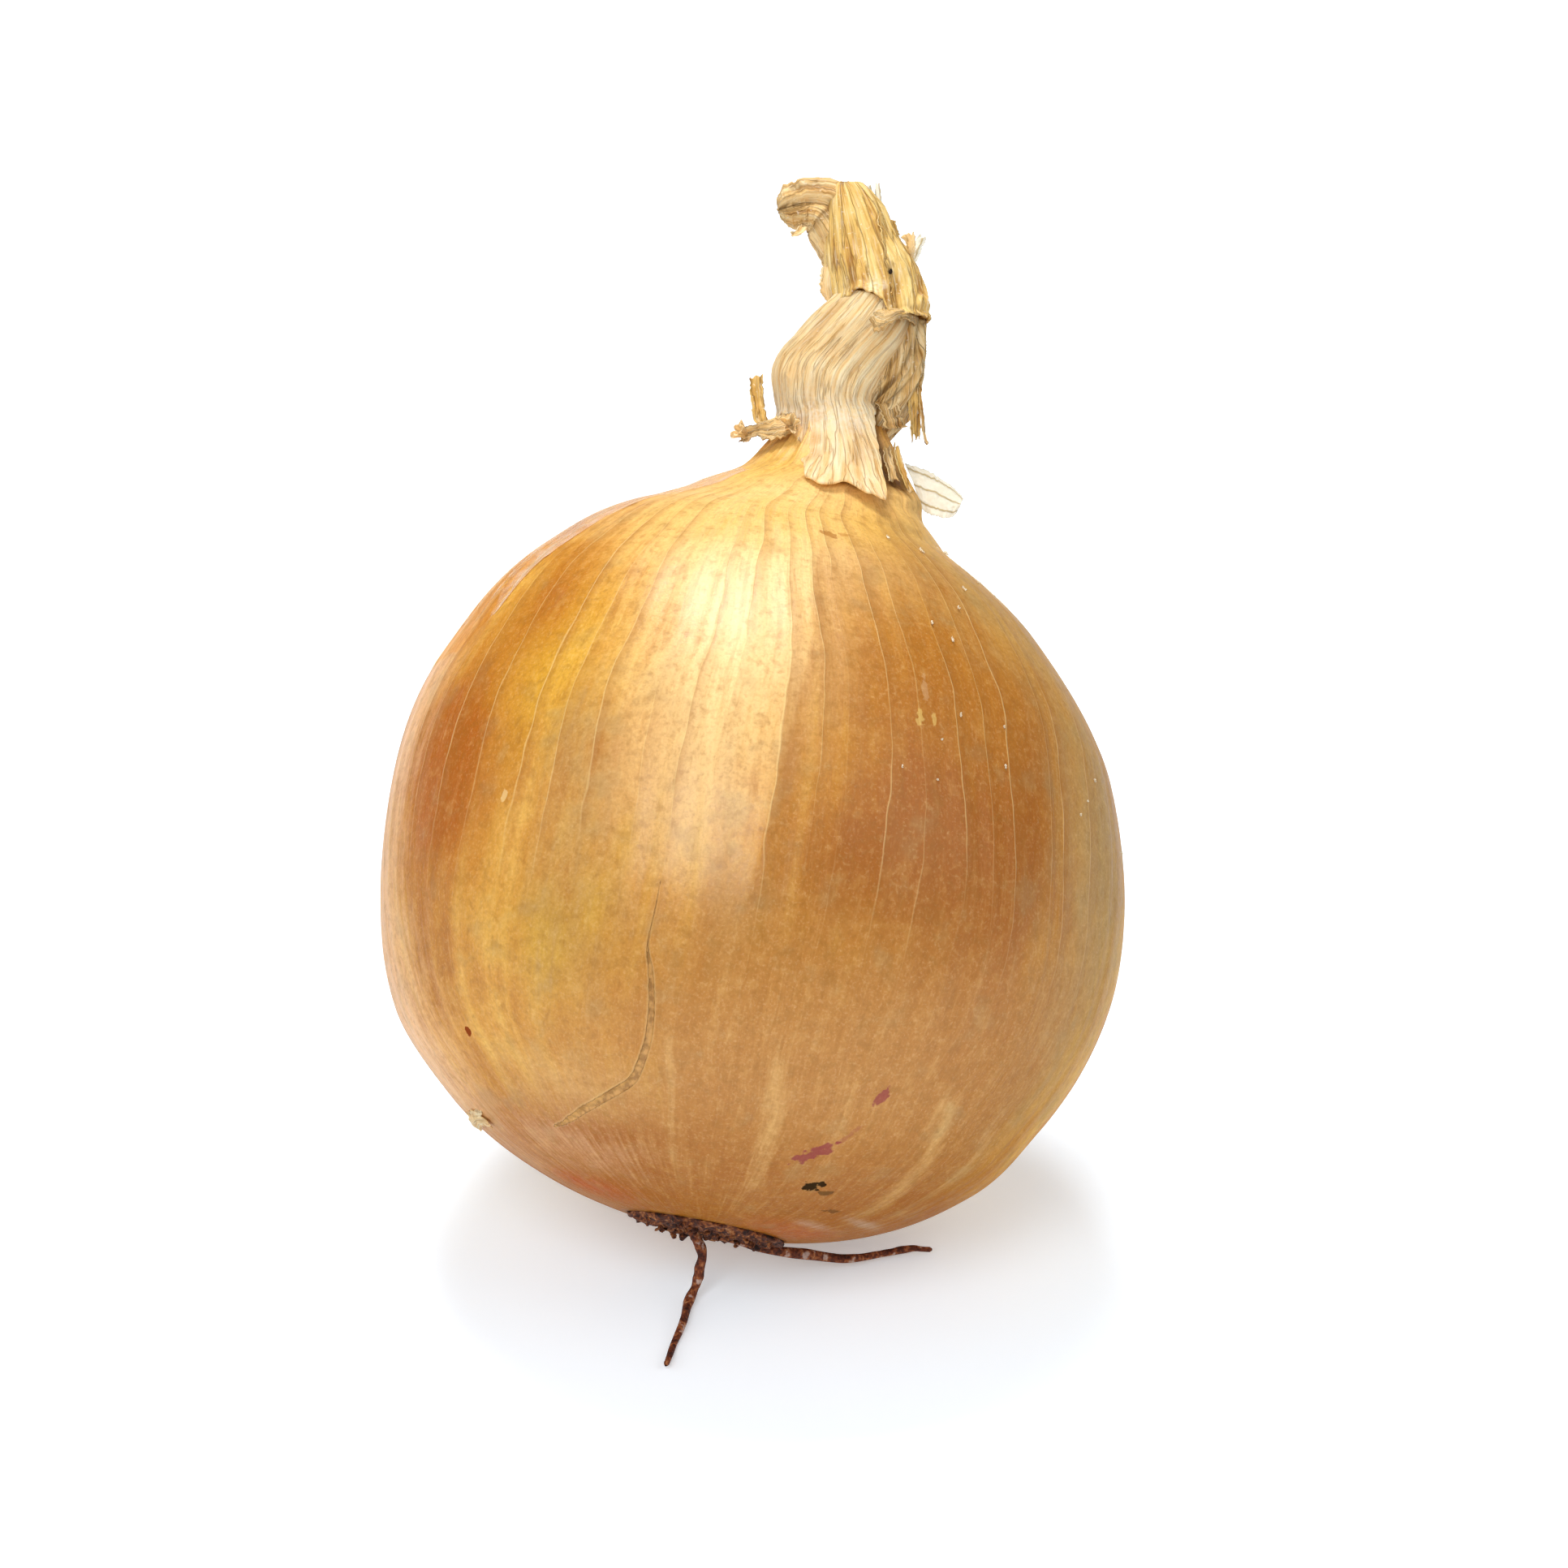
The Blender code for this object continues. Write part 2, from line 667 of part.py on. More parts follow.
def rest(lean, spot):
    """Leans the onion and sets the middle of its flat spot at the origin."""
    turned = resting_turn()
    lean.matrix_world = Matrix.Translation(-(turned @ spot) * MM) @ turned.to_4x4()
    bpy.context.view_layer.update()


def main():
    clear_scene()
    lean = bpy.data.objects.new("lean", None)
    bpy.context.scene.collection.objects.link(lean)
    finishes = {name: material(name) for name in COLOURS}
    spot = build_bulb(lean, finishes["amber_skin"])
    rest(lean, spot)
    build_neck(lean, finishes["straw_sheath"])
    build_flake(lean, finishes["clear_film"])
    build_root_plate(lean, finishes["corky_root"])


main()
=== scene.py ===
"""A brown onion at rest on a white surface, leaning back and to the right.

The shapes are worked out in millimetres about the onion's own axis: the origin is the bulb's middle, +Z
runs up the axis to the neck, +X is the side it leans to, and -Y is the side that shows. GROWN_TO_ROW then
carries every point into the row's frame, in metres. A place on the bulb is given as a turn round the axis
from +X and a height.
"""

import functools
import math
import random

import bpy
import numpy as np
from mathutils import Matrix, Vector


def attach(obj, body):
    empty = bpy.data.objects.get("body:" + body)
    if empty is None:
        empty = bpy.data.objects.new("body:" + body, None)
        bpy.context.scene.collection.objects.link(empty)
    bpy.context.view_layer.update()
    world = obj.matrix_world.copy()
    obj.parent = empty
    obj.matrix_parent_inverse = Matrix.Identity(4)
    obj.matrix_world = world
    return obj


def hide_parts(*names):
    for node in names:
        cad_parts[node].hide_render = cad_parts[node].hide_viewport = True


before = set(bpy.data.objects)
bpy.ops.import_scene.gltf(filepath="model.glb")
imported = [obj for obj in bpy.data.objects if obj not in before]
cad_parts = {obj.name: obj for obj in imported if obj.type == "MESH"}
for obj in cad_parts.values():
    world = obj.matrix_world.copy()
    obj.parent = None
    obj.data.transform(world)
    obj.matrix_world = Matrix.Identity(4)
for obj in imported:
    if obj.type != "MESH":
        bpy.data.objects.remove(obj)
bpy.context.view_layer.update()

MM = 0.001

# How the onion lies, as in the part's source
LEAN_RIGHT = math.radians(10.7)
LEAN_BACK = math.radians(33.5)
BULB_MIDDLE = (-1.77, -2.20, 38.49)
GROWN_TO_ROW = (
    Matrix.Scale(MM, 4)
    @ Matrix.Translation(BULB_MIDDLE)
    @ Matrix.Rotation(-LEAN_BACK, 4, "X")
    @ Matrix.Rotation(LEAN_RIGHT, 4, "Y")
)

# The bulb's outline, as in the part's source
BULB_RADIUS = 39.0
BULB_DEPTH = 36.8
BULB_RISE = 41.0
LOWER_FULLNESS = 2.22
SHOULDER_RADIUS = 16.4
NECK_RADIUS = 5.0
NECK_FOOT = 49.8
SHOULDER_HANDLE = (-4.9, 3.4)
NECK_HANDLE = (3.2, -7.2)
PLATE_RADIUS = 8.4
PLATE_SEAT_DEPTH = 0.7
DRIFT = [
    (-37, 2.0), (-28, 1.1), (-20, 0.1), (-6, 0.3), (17, -0.8), (30, -2.1),
    (36, -2.8), (40, -1.4), (43, 0.3), (46, 0.1), (50, -0.5),
]
VEINS = 56
VEIN_JITTER = 0.32

# The photograph's frame and the pixel that the bulb's middle falls on
PHOTO_SIDE_PX = 1932
BULB_MIDDLE_PX = (926, 1087)
CAMERA_ELEVATION = math.radians(25)
CAMERA_DISTANCE = 0.70
LENS_MM = 154.2
SENSOR_MM = 36.0

# How far the paper reaches in metres, how brightly it glows, so that the shadow stays pale, and the
# tent's glow
FLOOR_REACH = 3.0
FLOOR_GLOW = 0.31
TENT_GLOW = 0.36


# Numbers and curves


def smooth_step(x):
    x = np.clip(x, 0, 1)
    return x * x * (3 - 2 * x)


def through(points, x):
    """The value at each x of a curve that eases from one (x, value) point to the next."""
    places, values = np.array(points, float).T
    k = np.clip(np.searchsorted(places, x) - 1, 0, len(places) - 2)
    ease = smooth_step((x - places[k]) / (places[k + 1] - places[k]))
    return values[k] + (values[k + 1] - values[k]) * ease


def along_spline(points, t):
    """Points of a smooth curve through the given ones, at t from 0 to len(points) - 1."""
    points = np.array(points, float)
    padded = np.vstack([2 * points[0] - points[1], points, 2 * points[-1] - points[-2]])
    t = np.clip(t, 0, len(points) - 1)
    k = np.minimum(t.astype(int), len(points) - 2)
    s = (t - k)[..., None]
    a, b, c, d = padded[k], padded[k + 1], padded[k + 2], padded[k + 3]
    return 0.5 * (2 * b + (c - a) * s + (2 * a - 5 * b + 4 * c - d) * s**2 + (3 * b - a - 3 * c + d) * s**3)


def noise(x, y, seed, wrap=None):
    """Smooth random values from -1 to 1. With wrap, they repeat after that many steps of x."""
    table = np.random.default_rng(seed).uniform(-1, 1, (128, 128))
    x0, y0 = np.floor(x).astype(int), np.floor(y).astype(int)
    fx, fy = smooth_step(x - x0), smooth_step(y - y0)
    left, right = (x0 % (wrap or 128)) % 128, ((x0 + 1) % (wrap or 128)) % 128
    low, high = y0 % 128, (y0 + 1) % 128
    bottom = table[low, left] * (1 - fx) + table[low, right] * fx
    top = table[high, left] * (1 - fx) + table[high, right] * fx
    return bottom * (1 - fy) + top * fy


def unit(vectors):
    return vectors / np.maximum(np.linalg.norm(vectors, axis=-1, keepdims=True), 1e-9)


def arc_lengths(grid):
    """How far along each column every point of a grid of points lies."""
    steps = np.linalg.norm(np.diff(grid, axis=0), axis=-1)
    return np.vstack([np.zeros(grid.shape[1]), np.cumsum(steps, axis=0)])


# Meshes from grids of points


def grid_normals(grid, closed):
    """The outward direction at each point of a grid whose columns run round and whose rows run up."""
    up = np.gradient(grid, axis=0)
    if closed:
        round_ = np.roll(grid, -1, axis=1) - np.roll(grid, 1, axis=1)
    else:
        round_ = np.gradient(grid, axis=1)
    return unit(np.cross(round_, up))


def add_surface(name, grid, finish, across, closed=False, thickness=0.0, fields=None):
    """One piece from a grid of points: a surface, or a thin sheet if it has a thickness.

    Its UV map, "growth", holds how far round, which across gives, and how far along each point lies.
    Fields are named values, one for each point of the grid, that the finish reads.
    """
    rows, columns = grid.shape[:2]
    wrapped = columns + 1 if closed else columns
    ids = np.arange(rows * columns).reshape(rows, columns)[:, np.arange(wrapped) % columns]
    across = np.broadcast_to(across, (rows, wrapped))
    along = arc_lengths(grid)[:, np.arange(wrapped) % columns]
    corners = [(slice(None, -1), slice(None, -1)), (slice(None, -1), slice(1, None))]
    corners += [(slice(1, None), slice(1, None)), (slice(1, None), slice(None, -1))]
    quads = np.stack([ids[c] for c in corners], -1).reshape(-1, 4)
    uvs = np.stack([np.stack([across[c], along[c]], -1) for c in corners], -2).reshape(-1, 4, 2)
    points = grid.reshape(-1, 3)
    if thickness:
        count = rows * columns
        points = np.vstack([points, (grid - grid_normals(grid, closed) * thickness).reshape(-1, 3)])
        faces, face_uvs = [quads, quads[:, ::-1] + count], [uvs, uvs[:, ::-1]]
        rims = [(ids[0], across[0], along[0]), (ids[-1][::-1], across[-1][::-1], along[-1][::-1])]
        if not closed:
            rims.append((ids[::-1, 0], across[::-1, 0], along[::-1, 0]))
            rims.append((ids[:, -1], across[:, -1], along[:, -1]))
        for edge, u, v in rims:
            faces.append(np.stack([edge[1:], edge[:-1], edge[:-1] + count, edge[1:] + count], -1))
            uv = np.stack([u, v], -1)
            face_uvs.append(np.stack([uv[1:], uv[:-1], uv[:-1], uv[1:]], -2))
        quads, uvs = np.vstack(faces), np.vstack(face_uvs)
    mesh = bpy.data.meshes.new(name)
    mesh.from_pydata(points.tolist(), [], quads.tolist())
    mesh.uv_layers.new(name="growth").data.foreach_set("uv", uvs.reshape(-1).astype(np.float32))
    for field, values in (fields or {}).items():
        values = np.broadcast_to(values, (rows, columns)).reshape(-1)
        if thickness:
            values = np.concatenate([values, values])
        mesh.attributes.new(field, "FLOAT", "POINT").data.foreach_set("value", values.astype(np.float32))
    return add_piece(name, mesh, finish)


def add_piece(name, mesh, finish):
    """An object from a mesh in the onion's own frame, carried into the row's frame and onto the body.
    What would go through the surface that the onion rests on is pressed flat against it."""
    mesh.transform(GROWN_TO_ROW)
    places = np.empty(len(mesh.vertices) * 3, np.float32)
    mesh.vertices.foreach_get("co", places)
    places[2::3] = np.maximum(places[2::3], 0.0)
    mesh.vertices.foreach_set("co", places)
    mesh.materials.append(finish)
    mesh.shade_smooth()
    piece = bpy.data.objects.new(name, mesh)
    bpy.context.scene.collection.objects.link(piece)
    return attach(piece, "root")


# Finishes


def colour(hex_code):
    """An sRGB hex colour as linear RGBA."""
    channels = [int(hex_code[k : k + 2], 16) / 255 for k in (1, 3, 5)]
    return (*[c / 12.92 if c <= 0.04045 else ((c + 0.055) / 1.055) ** 2.4 for c in channels], 1)


def add(tree, kind, inputs=(), out=0, stops=(), **settings):
    """Adds a node with its settings, inputs as values or links, and ramp stops, and gives one output."""
    made = tree.nodes.new("ShaderNode" + kind)
    for name, value in settings.items():
        setattr(made, name, value)
    for socket, value in inputs.items() if isinstance(inputs, dict) else enumerate(inputs):
        if isinstance(value, bpy.types.NodeSocket):
            tree.links.new(value, made.inputs[socket])
        else:
            made.inputs[socket].default_value = value
    for k, (place, code) in enumerate(stops):
        ramp = made.color_ramp.elements
        element = ramp[k] if k < len(ramp) else ramp.new(place)
        element.position = place
        element.color = colour(code)
    return made.outputs[out]


# Sockets of the Mix node when it mixes colours
FACTOR, UNDER, OVER, MIXED = 0, 6, 7, 2


def new_finish(name):
    """A material, a function that adds its nodes, its shader, and its place and growth coordinates in mm."""
    made = bpy.data.materials.new(name)
    made.use_nodes = True
    node = functools.partial(add, made.node_tree)
    place = node("Mapping", {0: node("TexCoord", out="Object"), "Scale": (1 / MM,) * 3})
    return made, node, made.node_tree.nodes["Principled BSDF"], place, node("UVMap", uv_map="growth")


def link(made, socket, shader, name):
    made.node_tree.links.new(socket, shader.inputs[name])


# The colours that the skin turns where a stain's field is strong; some of them also carry painted shade,
# highlight and reflection
STAIN_COLOURS = {
    # Paler skin, and painted highlight where the broad highlights fall
    "straw": "#ECC688",
    "gold": "#D2A02C",
    "bronze": "#A2661C",
    "amber": "#A25604",
    # A browner stain, also laid as painted shade on the keels' far sides and low on the underside
    "umber_and_painted_shade": "#98560C",
    "olive": "#A58048",
    # A peach stain, and painted reflection along the left rim
    "flush_and_rim_reflection": "#E0B084",
    "tan": "#B47C38",
    "rust": "#A84C0C",
    "chalk": "#D8C8AC",
    "rib": "#CFA05C",
    # Painted shadow under the front patch's hem and painted shade in the slit
    "shade": "#6B4720",
}

# The skin's patterns that run no way in particular: the size in mm of each and its detail
SKIN_GRAIN = {
    "clouds": (10.0, 2.0),
    "blotches": (4.0, 4.0),
    "spots": (1.6, 3.0),
    "flecks": (0.8, 4.0),
    "speckle": (0.5, 3.0),
    "grain": (0.26, 1.0),
}

# The patterns that run along its growth: how often each repeats, in turns a vein and in turns a mm along
# it, and its detail. Bands run between veins and streaks are 1 mm wide. Bundles of fibres are 0.45 mm
# wide, coarser than the real ones so that they show.
SKIN_GROWTH = {
    "bands": (1.6, 0.015, 1.0),
    "streaks": (4.5, 0.11, 4.0),
    "fibres": (10.0, 0.8, 3.0),
    "sway": (0.5, 0.045, 3.0),
    "stretches": (0.83, 0.024, 1.0),
}

# Darker and paler touches over the stains: the pattern, where in it they start and are full, how strong
# they get
SKIN_TOUCHES = [
    ("streaks", 0.52, 0.34, 0.12, "#8A5214"),
    ("streaks", 0.56, 0.76, 0.08, "#EDC478"),
    ("fibres", 0.52, 0.34, 0.09, "#7C4814"),
    ("fibres", 0.54, 0.78, 0.06, "#FAD898"),
    ("grain", 0.50, 0.30, 0.10, "#6B3F12"),
    ("grain", 0.55, 0.75, 0.07, "#FFE2AC"),
    ("spots", 0.48, 0.32, 0.20, "#8A5A16"),
    ("spots", 0.54, 0.70, 0.08, "#E8BE70"),
    ("blotches", 0.56, 0.70, 0.24, "#94784A"),
    ("flecks", 0.64, 0.74, 0.22, "#9A6428"),
    ("flecks", 0.48, 0.34, 0.14, "#8A5A16"),
    ("speckle", 0.48, 0.32, 0.16, "#86581C"),
    ("speckle", 0.55, 0.70, 0.09, "#F0CC88"),
]


def skin_patterns(node, place, growth):
    """The noises that the skin's finish is made from, by name."""
    patterns = {}
    for name, (size, detail) in SKIN_GRAIN.items():
        patterns[name] = node("TexNoise", {0: place, "Scale": 1 / size, "Detail": detail})
    for name, (across, along, detail) in SKIN_GROWTH.items():
        drawn_out = node("Mapping", {0: growth, "Scale": (across, along, 1)})
        inputs = {0: drawn_out, "Scale": 1, "Detail": detail, "Roughness": 0.6}
        patterns[name] = node("TexNoise", inputs, noise_dimensions="2D")
    return patterns


def stained_amber(node, patterns):
    """Blotches and bands of deeper and paler amber, then stains whose edges break up along the growth.
    Some of the stains are partly painted shade, highlight and reflection.
    """
    mottle = node("Math", (patterns["blotches"], 0.25), operation="MULTIPLY")
    tone = node("Math", (patterns["clouds"], 0.40, mottle), operation="MULTIPLY_ADD")
    tone = node("Math", (patterns["bands"], 0.35, tone), operation="MULTIPLY_ADD")
    skin = node("ValToRGB", (tone,), stops=[(0.38, "#AA6A1A"), (0.50, "#C4882F"), (0.62, "#D8A548")])
    mottle = node("Math", (patterns["blotches"], 0.5), operation="MULTIPLY")
    ragged = node("Math", (patterns["streaks"], 0.5, mottle), operation="MULTIPLY_ADD")
    ragged = node("Math", (ragged, 0.5), operation="SUBTRACT")
    for name, code in STAIN_COLOURS.items():
        field = node("Attribute", out="Fac", attribute_name=name)
        amount = node("MapRange", (node("Math", (ragged, 1.3, field), operation="MULTIPLY_ADD"), 0.0, 1.0))
        amount = node("Math", (amount, node("MapRange", (field, 0.0, 0.25))), operation="MULTIPLY")
        skin = node("Mix", {FACTOR: amount, UNDER: skin, OVER: colour(code)}, MIXED, data_type="RGBA")
    for name, low, high, most, code in SKIN_TOUCHES:
        amount = node("MapRange", (patterns[name], low, high, 0.0, most), interpolation_type="SMOOTHSTEP")
        skin = node("Mix", {FACTOR: amount, UNDER: skin, OVER: colour(code)}, MIXED, data_type="RGBA")
    return skin


def with_veins(node, patterns, growth, skin):
    """Veins, up to 4.4 mm apart, paler in some stretches than in others, and with a darker side that is
    painted shade.
    """
    strayed = node("Math", (patterns["sway"], 0.5), operation="SUBTRACT")
    phase = node("Math", (strayed, 0.5, node("SeparateXYZ", (growth,))), operation="MULTIPLY_ADD")
    past = node("Math", (phase,), operation="FRACT")
    offset = node("Math", (node("Math", (past, 0.5), operation="SUBTRACT"),), operation="ABSOLUTE")
    stretches = (patterns["stretches"], 0.34, 0.60, 0.15, 1.0)
    strength = node("MapRange", stretches, interpolation_type="SMOOTHSTEP")
    upper = node("Attribute", out="Fac", attribute_name="vein_strength")
    strength = node("Math", (strength, upper), operation="MULTIPLY")
    vein = node("MapRange", (offset, 0.474, 0.494), interpolation_type="SMOOTHSTEP")
    vein = node("Math", (vein, strength), operation="MULTIPLY")
    # Painted shade: the side just past each vein is darker
    darker = node("Math", (node("MapRange", (past, 0.45, 0.0)), strength), operation="MULTIPLY")
    for amount, most, code in ((darker, 0.40, "#8E581D"), (vein, 0.30, "#F0CF8C")):
        amount = node("Math", (amount, most), operation="MULTIPLY")
        skin = node("Mix", {FACTOR: amount, UNDER: skin, OVER: colour(code)}, MIXED, data_type="RGBA")
    return skin, vein


def with_split(node, patterns, skin):
    """The split in the skin, with the browner layer under it and its pale torn lips."""
    side = node("Math", (node("Attribute", out="Fac", attribute_name="split_across"),), operation="ABSOLUTE")
    width = node("Attribute", out="Fac", attribute_name="split_width")
    crumbled = node("Math", (patterns["speckle"], 0.5), operation="SUBTRACT")
    frayed = node("Math", (crumbled, 0.22, width), operation="MULTIPLY_ADD")
    inside = node("Math", (frayed, side), operation="SUBTRACT")
    inside = node("MapRange", (inside, -0.03, 0.05), interpolation_type="SMOOTHSTEP")
    lip = node("MapRange", (node("Math", (side, width), operation="SUBTRACT"), 0.22, 0.02))
    lip = node("Math", (lip, node("MapRange", (width, 0.0, 0.12, 0.0, 0.22))), operation="MULTIPLY")
    skin = node("Mix", {FACTOR: lip, UNDER: skin, OVER: colour("#F0CF92")}, MIXED, data_type="RGBA")
    under = node("ValToRGB", (patterns["flecks"],), stops=[(0.40, "#96682E"), (0.58, "#C08E4C")])
    skin = node("Mix", {FACTOR: inside, UNDER: skin, OVER: under}, MIXED, data_type="RGBA")
    return skin, inside, lip


def with_marks(node, patterns, place, skin):
    """Small matt marks, each inside its own ellipsoid, with edges broken up by flecks. The pale glints
    among them are painted highlights.
    """
    gloss_left = 1.0
    crumbled = node("Math", (patterns["flecks"], 0.5), operation="SUBTRACT")
    for turn, height, wide, tall, tilt, strength, code in MARKS:
        spot, facing = mark_place(turn, height, tilt)
        inputs = {0: place, "Location": spot, "Rotation": facing, "Scale": (wide, tall, 3)}
        near = node("Mapping", inputs, vector_type="TEXTURE")
        reach = node("VectorMath", (near,), out="Value", operation="LENGTH")
        edge = node("Math", (crumbled, -2.6, reach), operation="MULTIPLY_ADD")
        amount = node("MapRange", (edge, 1.0, 0.7, 0.0, strength), interpolation_type="SMOOTHSTEP")
        skin = node("Mix", {FACTOR: amount, UNDER: skin, OVER: colour(code)}, MIXED, data_type="RGBA")
        gloss_left = node("Math", (gloss_left, amount), operation="SUBTRACT", use_clamp=True)
    return skin, gloss_left


def dry_scale_leaf():
    """Outer scale leaf of a brown onion, dried on the bulb to a tight papery skin: amber over pale flesh,
    with thin pale veins from root to neck, a fibrous grain, and a soft waxy sheen that breaks up in the
    highlights."""
    made, node, shader, place, growth = new_finish("dry_scale_leaf")
    patterns = skin_patterns(node, place, growth)
    skin, vein = with_veins(node, patterns, growth, stained_amber(node, patterns))
    skin, inside, lip = with_split(node, patterns, skin)
    skin, gloss_left = with_marks(node, patterns, place, skin)
    link(made, skin, shader, "Base Color")
    link(made, node("MapRange", (patterns["speckle"], 0.3, 0.7, 0.32, 0.48)), shader, "Roughness")
    shader.inputs["IOR"].default_value = 1.42
    facing = node("LayerWeight", {"Blend": 0.5}, "Facing")
    glossy = node("MapRange", (facing, 0.20, 0.66, 0.36, 0.03))
    link(made, node("Math", (glossy, gloss_left), operation="MULTIPLY"), shader, "Specular IOR Level")
    coated = node("MapRange", (facing, 0.20, 0.60, 0.18, 0.0))
    link(made, node("Math", (coated, gloss_left), operation="MULTIPLY"), shader, "Coat Weight")
    shader.inputs["Coat Roughness"].default_value = 0.30
    shader.inputs["Subsurface Weight"].default_value = 0.10
    shader.inputs["Subsurface Scale"].default_value = 1.5 * MM
    shader.inputs["Subsurface Radius"].default_value = (1.0, 0.6, 0.3)
    relief = 0.0
    for value, height_mm in (
        (vein, 0.030),
        (patterns["streaks"], 0.03),
        (patterns["fibres"], 0.016),
        (patterns["grain"], 0.020),
        (patterns["spots"], 0.06),
        (inside, -0.12),
        (lip, 0.10),
    ):
        relief = node("Math", (value, height_mm, relief), operation="MULTIPLY_ADD")
    link(made, node("Bump", {"Strength": 1.0, "Distance": MM, "Height": relief}), shader, "Normal")
    return made


def dried_leaf_sheath(name, pale, middle, dark, groove_and_shade, translucent, grooved):
    """Green leaf bases dried to straw round the neck: long stiff fibres with browner grooves between
    them, matt, and thin enough that light comes through. The grooves' colour is also painted into pleat
    folds and recesses as shade."""
    made, node, shader, place, growth = new_finish(name)
    long_patterns = []
    for across, along in ((0.9, 0.05), (2.6, 0.10), (7.0, 0.30), (0.8, 0.07)):
        drawn_out = node("Mapping", {0: growth, "Scale": (across, along, 1)})
        inputs = {0: drawn_out, "Scale": 1, "Detail": 3, "Roughness": 0.6}
        long_patterns.append(node("TexNoise", inputs, noise_dimensions="2D"))
    bundles, fibres, hairs, seams = long_patterns
    blotches, crumbs = (node("TexNoise", {0: place, "Scale": 1 / size, "Detail": 3}) for size in (2.6, 0.45))
    mottle = node("Math", (blotches, 0.25), operation="MULTIPLY")
    tone = node("Math", (bundles, 0.35, mottle), operation="MULTIPLY_ADD")
    tone = node("Math", (fibres, 0.40, tone), operation="MULTIPLY_ADD")
    straw = node("ValToRGB", (tone,), stops=[(0.38, dark), (0.48, middle), (0.60, pale)])
    shade_and_mottle = node("Attribute", out="Fac", attribute_name="shade_and_mottle")
    line = node("Math", (node("Math", (seams, 0.5), operation="SUBTRACT"),), operation="ABSOLUTE")
    worn = node("Attribute", out="Fac", attribute_name="worn")
    chafed = node("Math", (node("MapRange", (crumbs, 0.30, 0.62)), worn), operation="MULTIPLY")
    # The first entry paints shade into pleat folds, recesses and cup feet, and mottle on the shreds; the rest
    # are grain and wear
    for value, low, high, most, code in (
        (shade_and_mottle, 0.30, 0.95, 0.75 * grooved, groove_and_shade),
        (line, 0.030, 0.004, 0.60 * grooved, groove_and_shade),
        (fibres, 0.44, 0.28, 0.40 * grooved, groove_and_shade),
        (hairs, 0.44, 0.28, 0.35 * grooved, groove_and_shade),
        (hairs, 0.54, 0.70, 0.35, "#FFF3D6"),
        (crumbs, 0.62, 0.72, 0.25 * grooved, groove_and_shade),
        (crumbs, 0.38, 0.28, 0.40, "#FFF6E0"),
        (chafed, 0.0, 1.0, 0.80, "#FFF4DC"),
    ):
        amount = node("MapRange", (value, low, high, 0.0, most), interpolation_type="SMOOTHSTEP")
        straw = node("Mix", {FACTOR: amount, UNDER: straw, OVER: colour(code)}, MIXED, data_type="RGBA")
    link(made, straw, shader, "Base Color")
    shader.inputs["Roughness"].default_value = 0.6
    shader.inputs["IOR"].default_value = 1.42
    relief = 0.0
    crease = node("MapRange", (line, 0.030, 0.0))
    for value, height in ((fibres, 0.22), (bundles, 0.20), (hairs, 0.08), (crumbs, 0.06), (crease, -0.10)):
        relief = node("Math", (value, height, relief), operation="MULTIPLY_ADD")
    bump = node("Bump", {"Strength": 1.0, "Distance": MM, "Height": relief})
    link(made, bump, shader, "Normal")
    glow = node("BsdfTranslucent", {"Color": straw, "Normal": bump})
    mixed = node("MixShader", {0: translucent, 1: shader.outputs[0], 2: glow})
    link(made, mixed, made.node_tree.nodes["Material Output"], "Surface")
    return made


def clear_skin_film(name, clear, tint, vein, veins_per_mm=0.55):
    """Outermost skin gone to a clear, brittle film: nearly colourless and glossy, with browner veins."""
    made, node, shader, place, growth = new_finish(name)
    clouds = node("TexNoise", {0: place, "Scale": 1 / 1.4, "Detail": 3})
    sway = node("Math", (clouds, 0.25), operation="MULTIPLY")
    round_ = node("Math", (node("SeparateXYZ", (growth,)), veins_per_mm, sway), operation="MULTIPLY_ADD")
    offset = node("Math", (node("Math", (round_,), operation="FRACT"), 0.5), operation="SUBTRACT")
    line = node("MapRange", (node("Math", (offset,), operation="ABSOLUTE"), 0.10, 0.02))
    skin = node("Mix", {FACTOR: line, UNDER: colour(tint), OVER: colour(vein)}, MIXED, data_type="RGBA")
    link(made, skin, shader, "Base Color")
    shader.inputs["Roughness"].default_value = 0.25
    shader.inputs["IOR"].default_value = 1.42
    milk = node("MapRange", (clouds, 0.3, 0.7, clear + 0.12, clear - 0.12))
    milk = node("Math", (line, -0.35, milk), operation="MULTIPLY_ADD")
    thin = node("Attribute", out="Fac", attribute_name="thin")
    milk = node("Math", (milk, thin), operation="ADD", use_clamp=True)
    see_through = node("BsdfTransparent", {"Color": colour("#FFFBF2")})
    mixed = node("MixShader", {0: milk, 1: shader.outputs[0], 2: see_through})
    link(made, mixed, made.node_tree.nodes["Material Output"], "Surface")
    waves = node("Math", (clouds, 0.10), operation="MULTIPLY")
    relief = node("Math", (line, 0.06, waves), operation="MULTIPLY_ADD")
    link(made, node("Bump", {"Strength": 1.0, "Distance": MM, "Height": relief}), shader, "Normal")
    return made


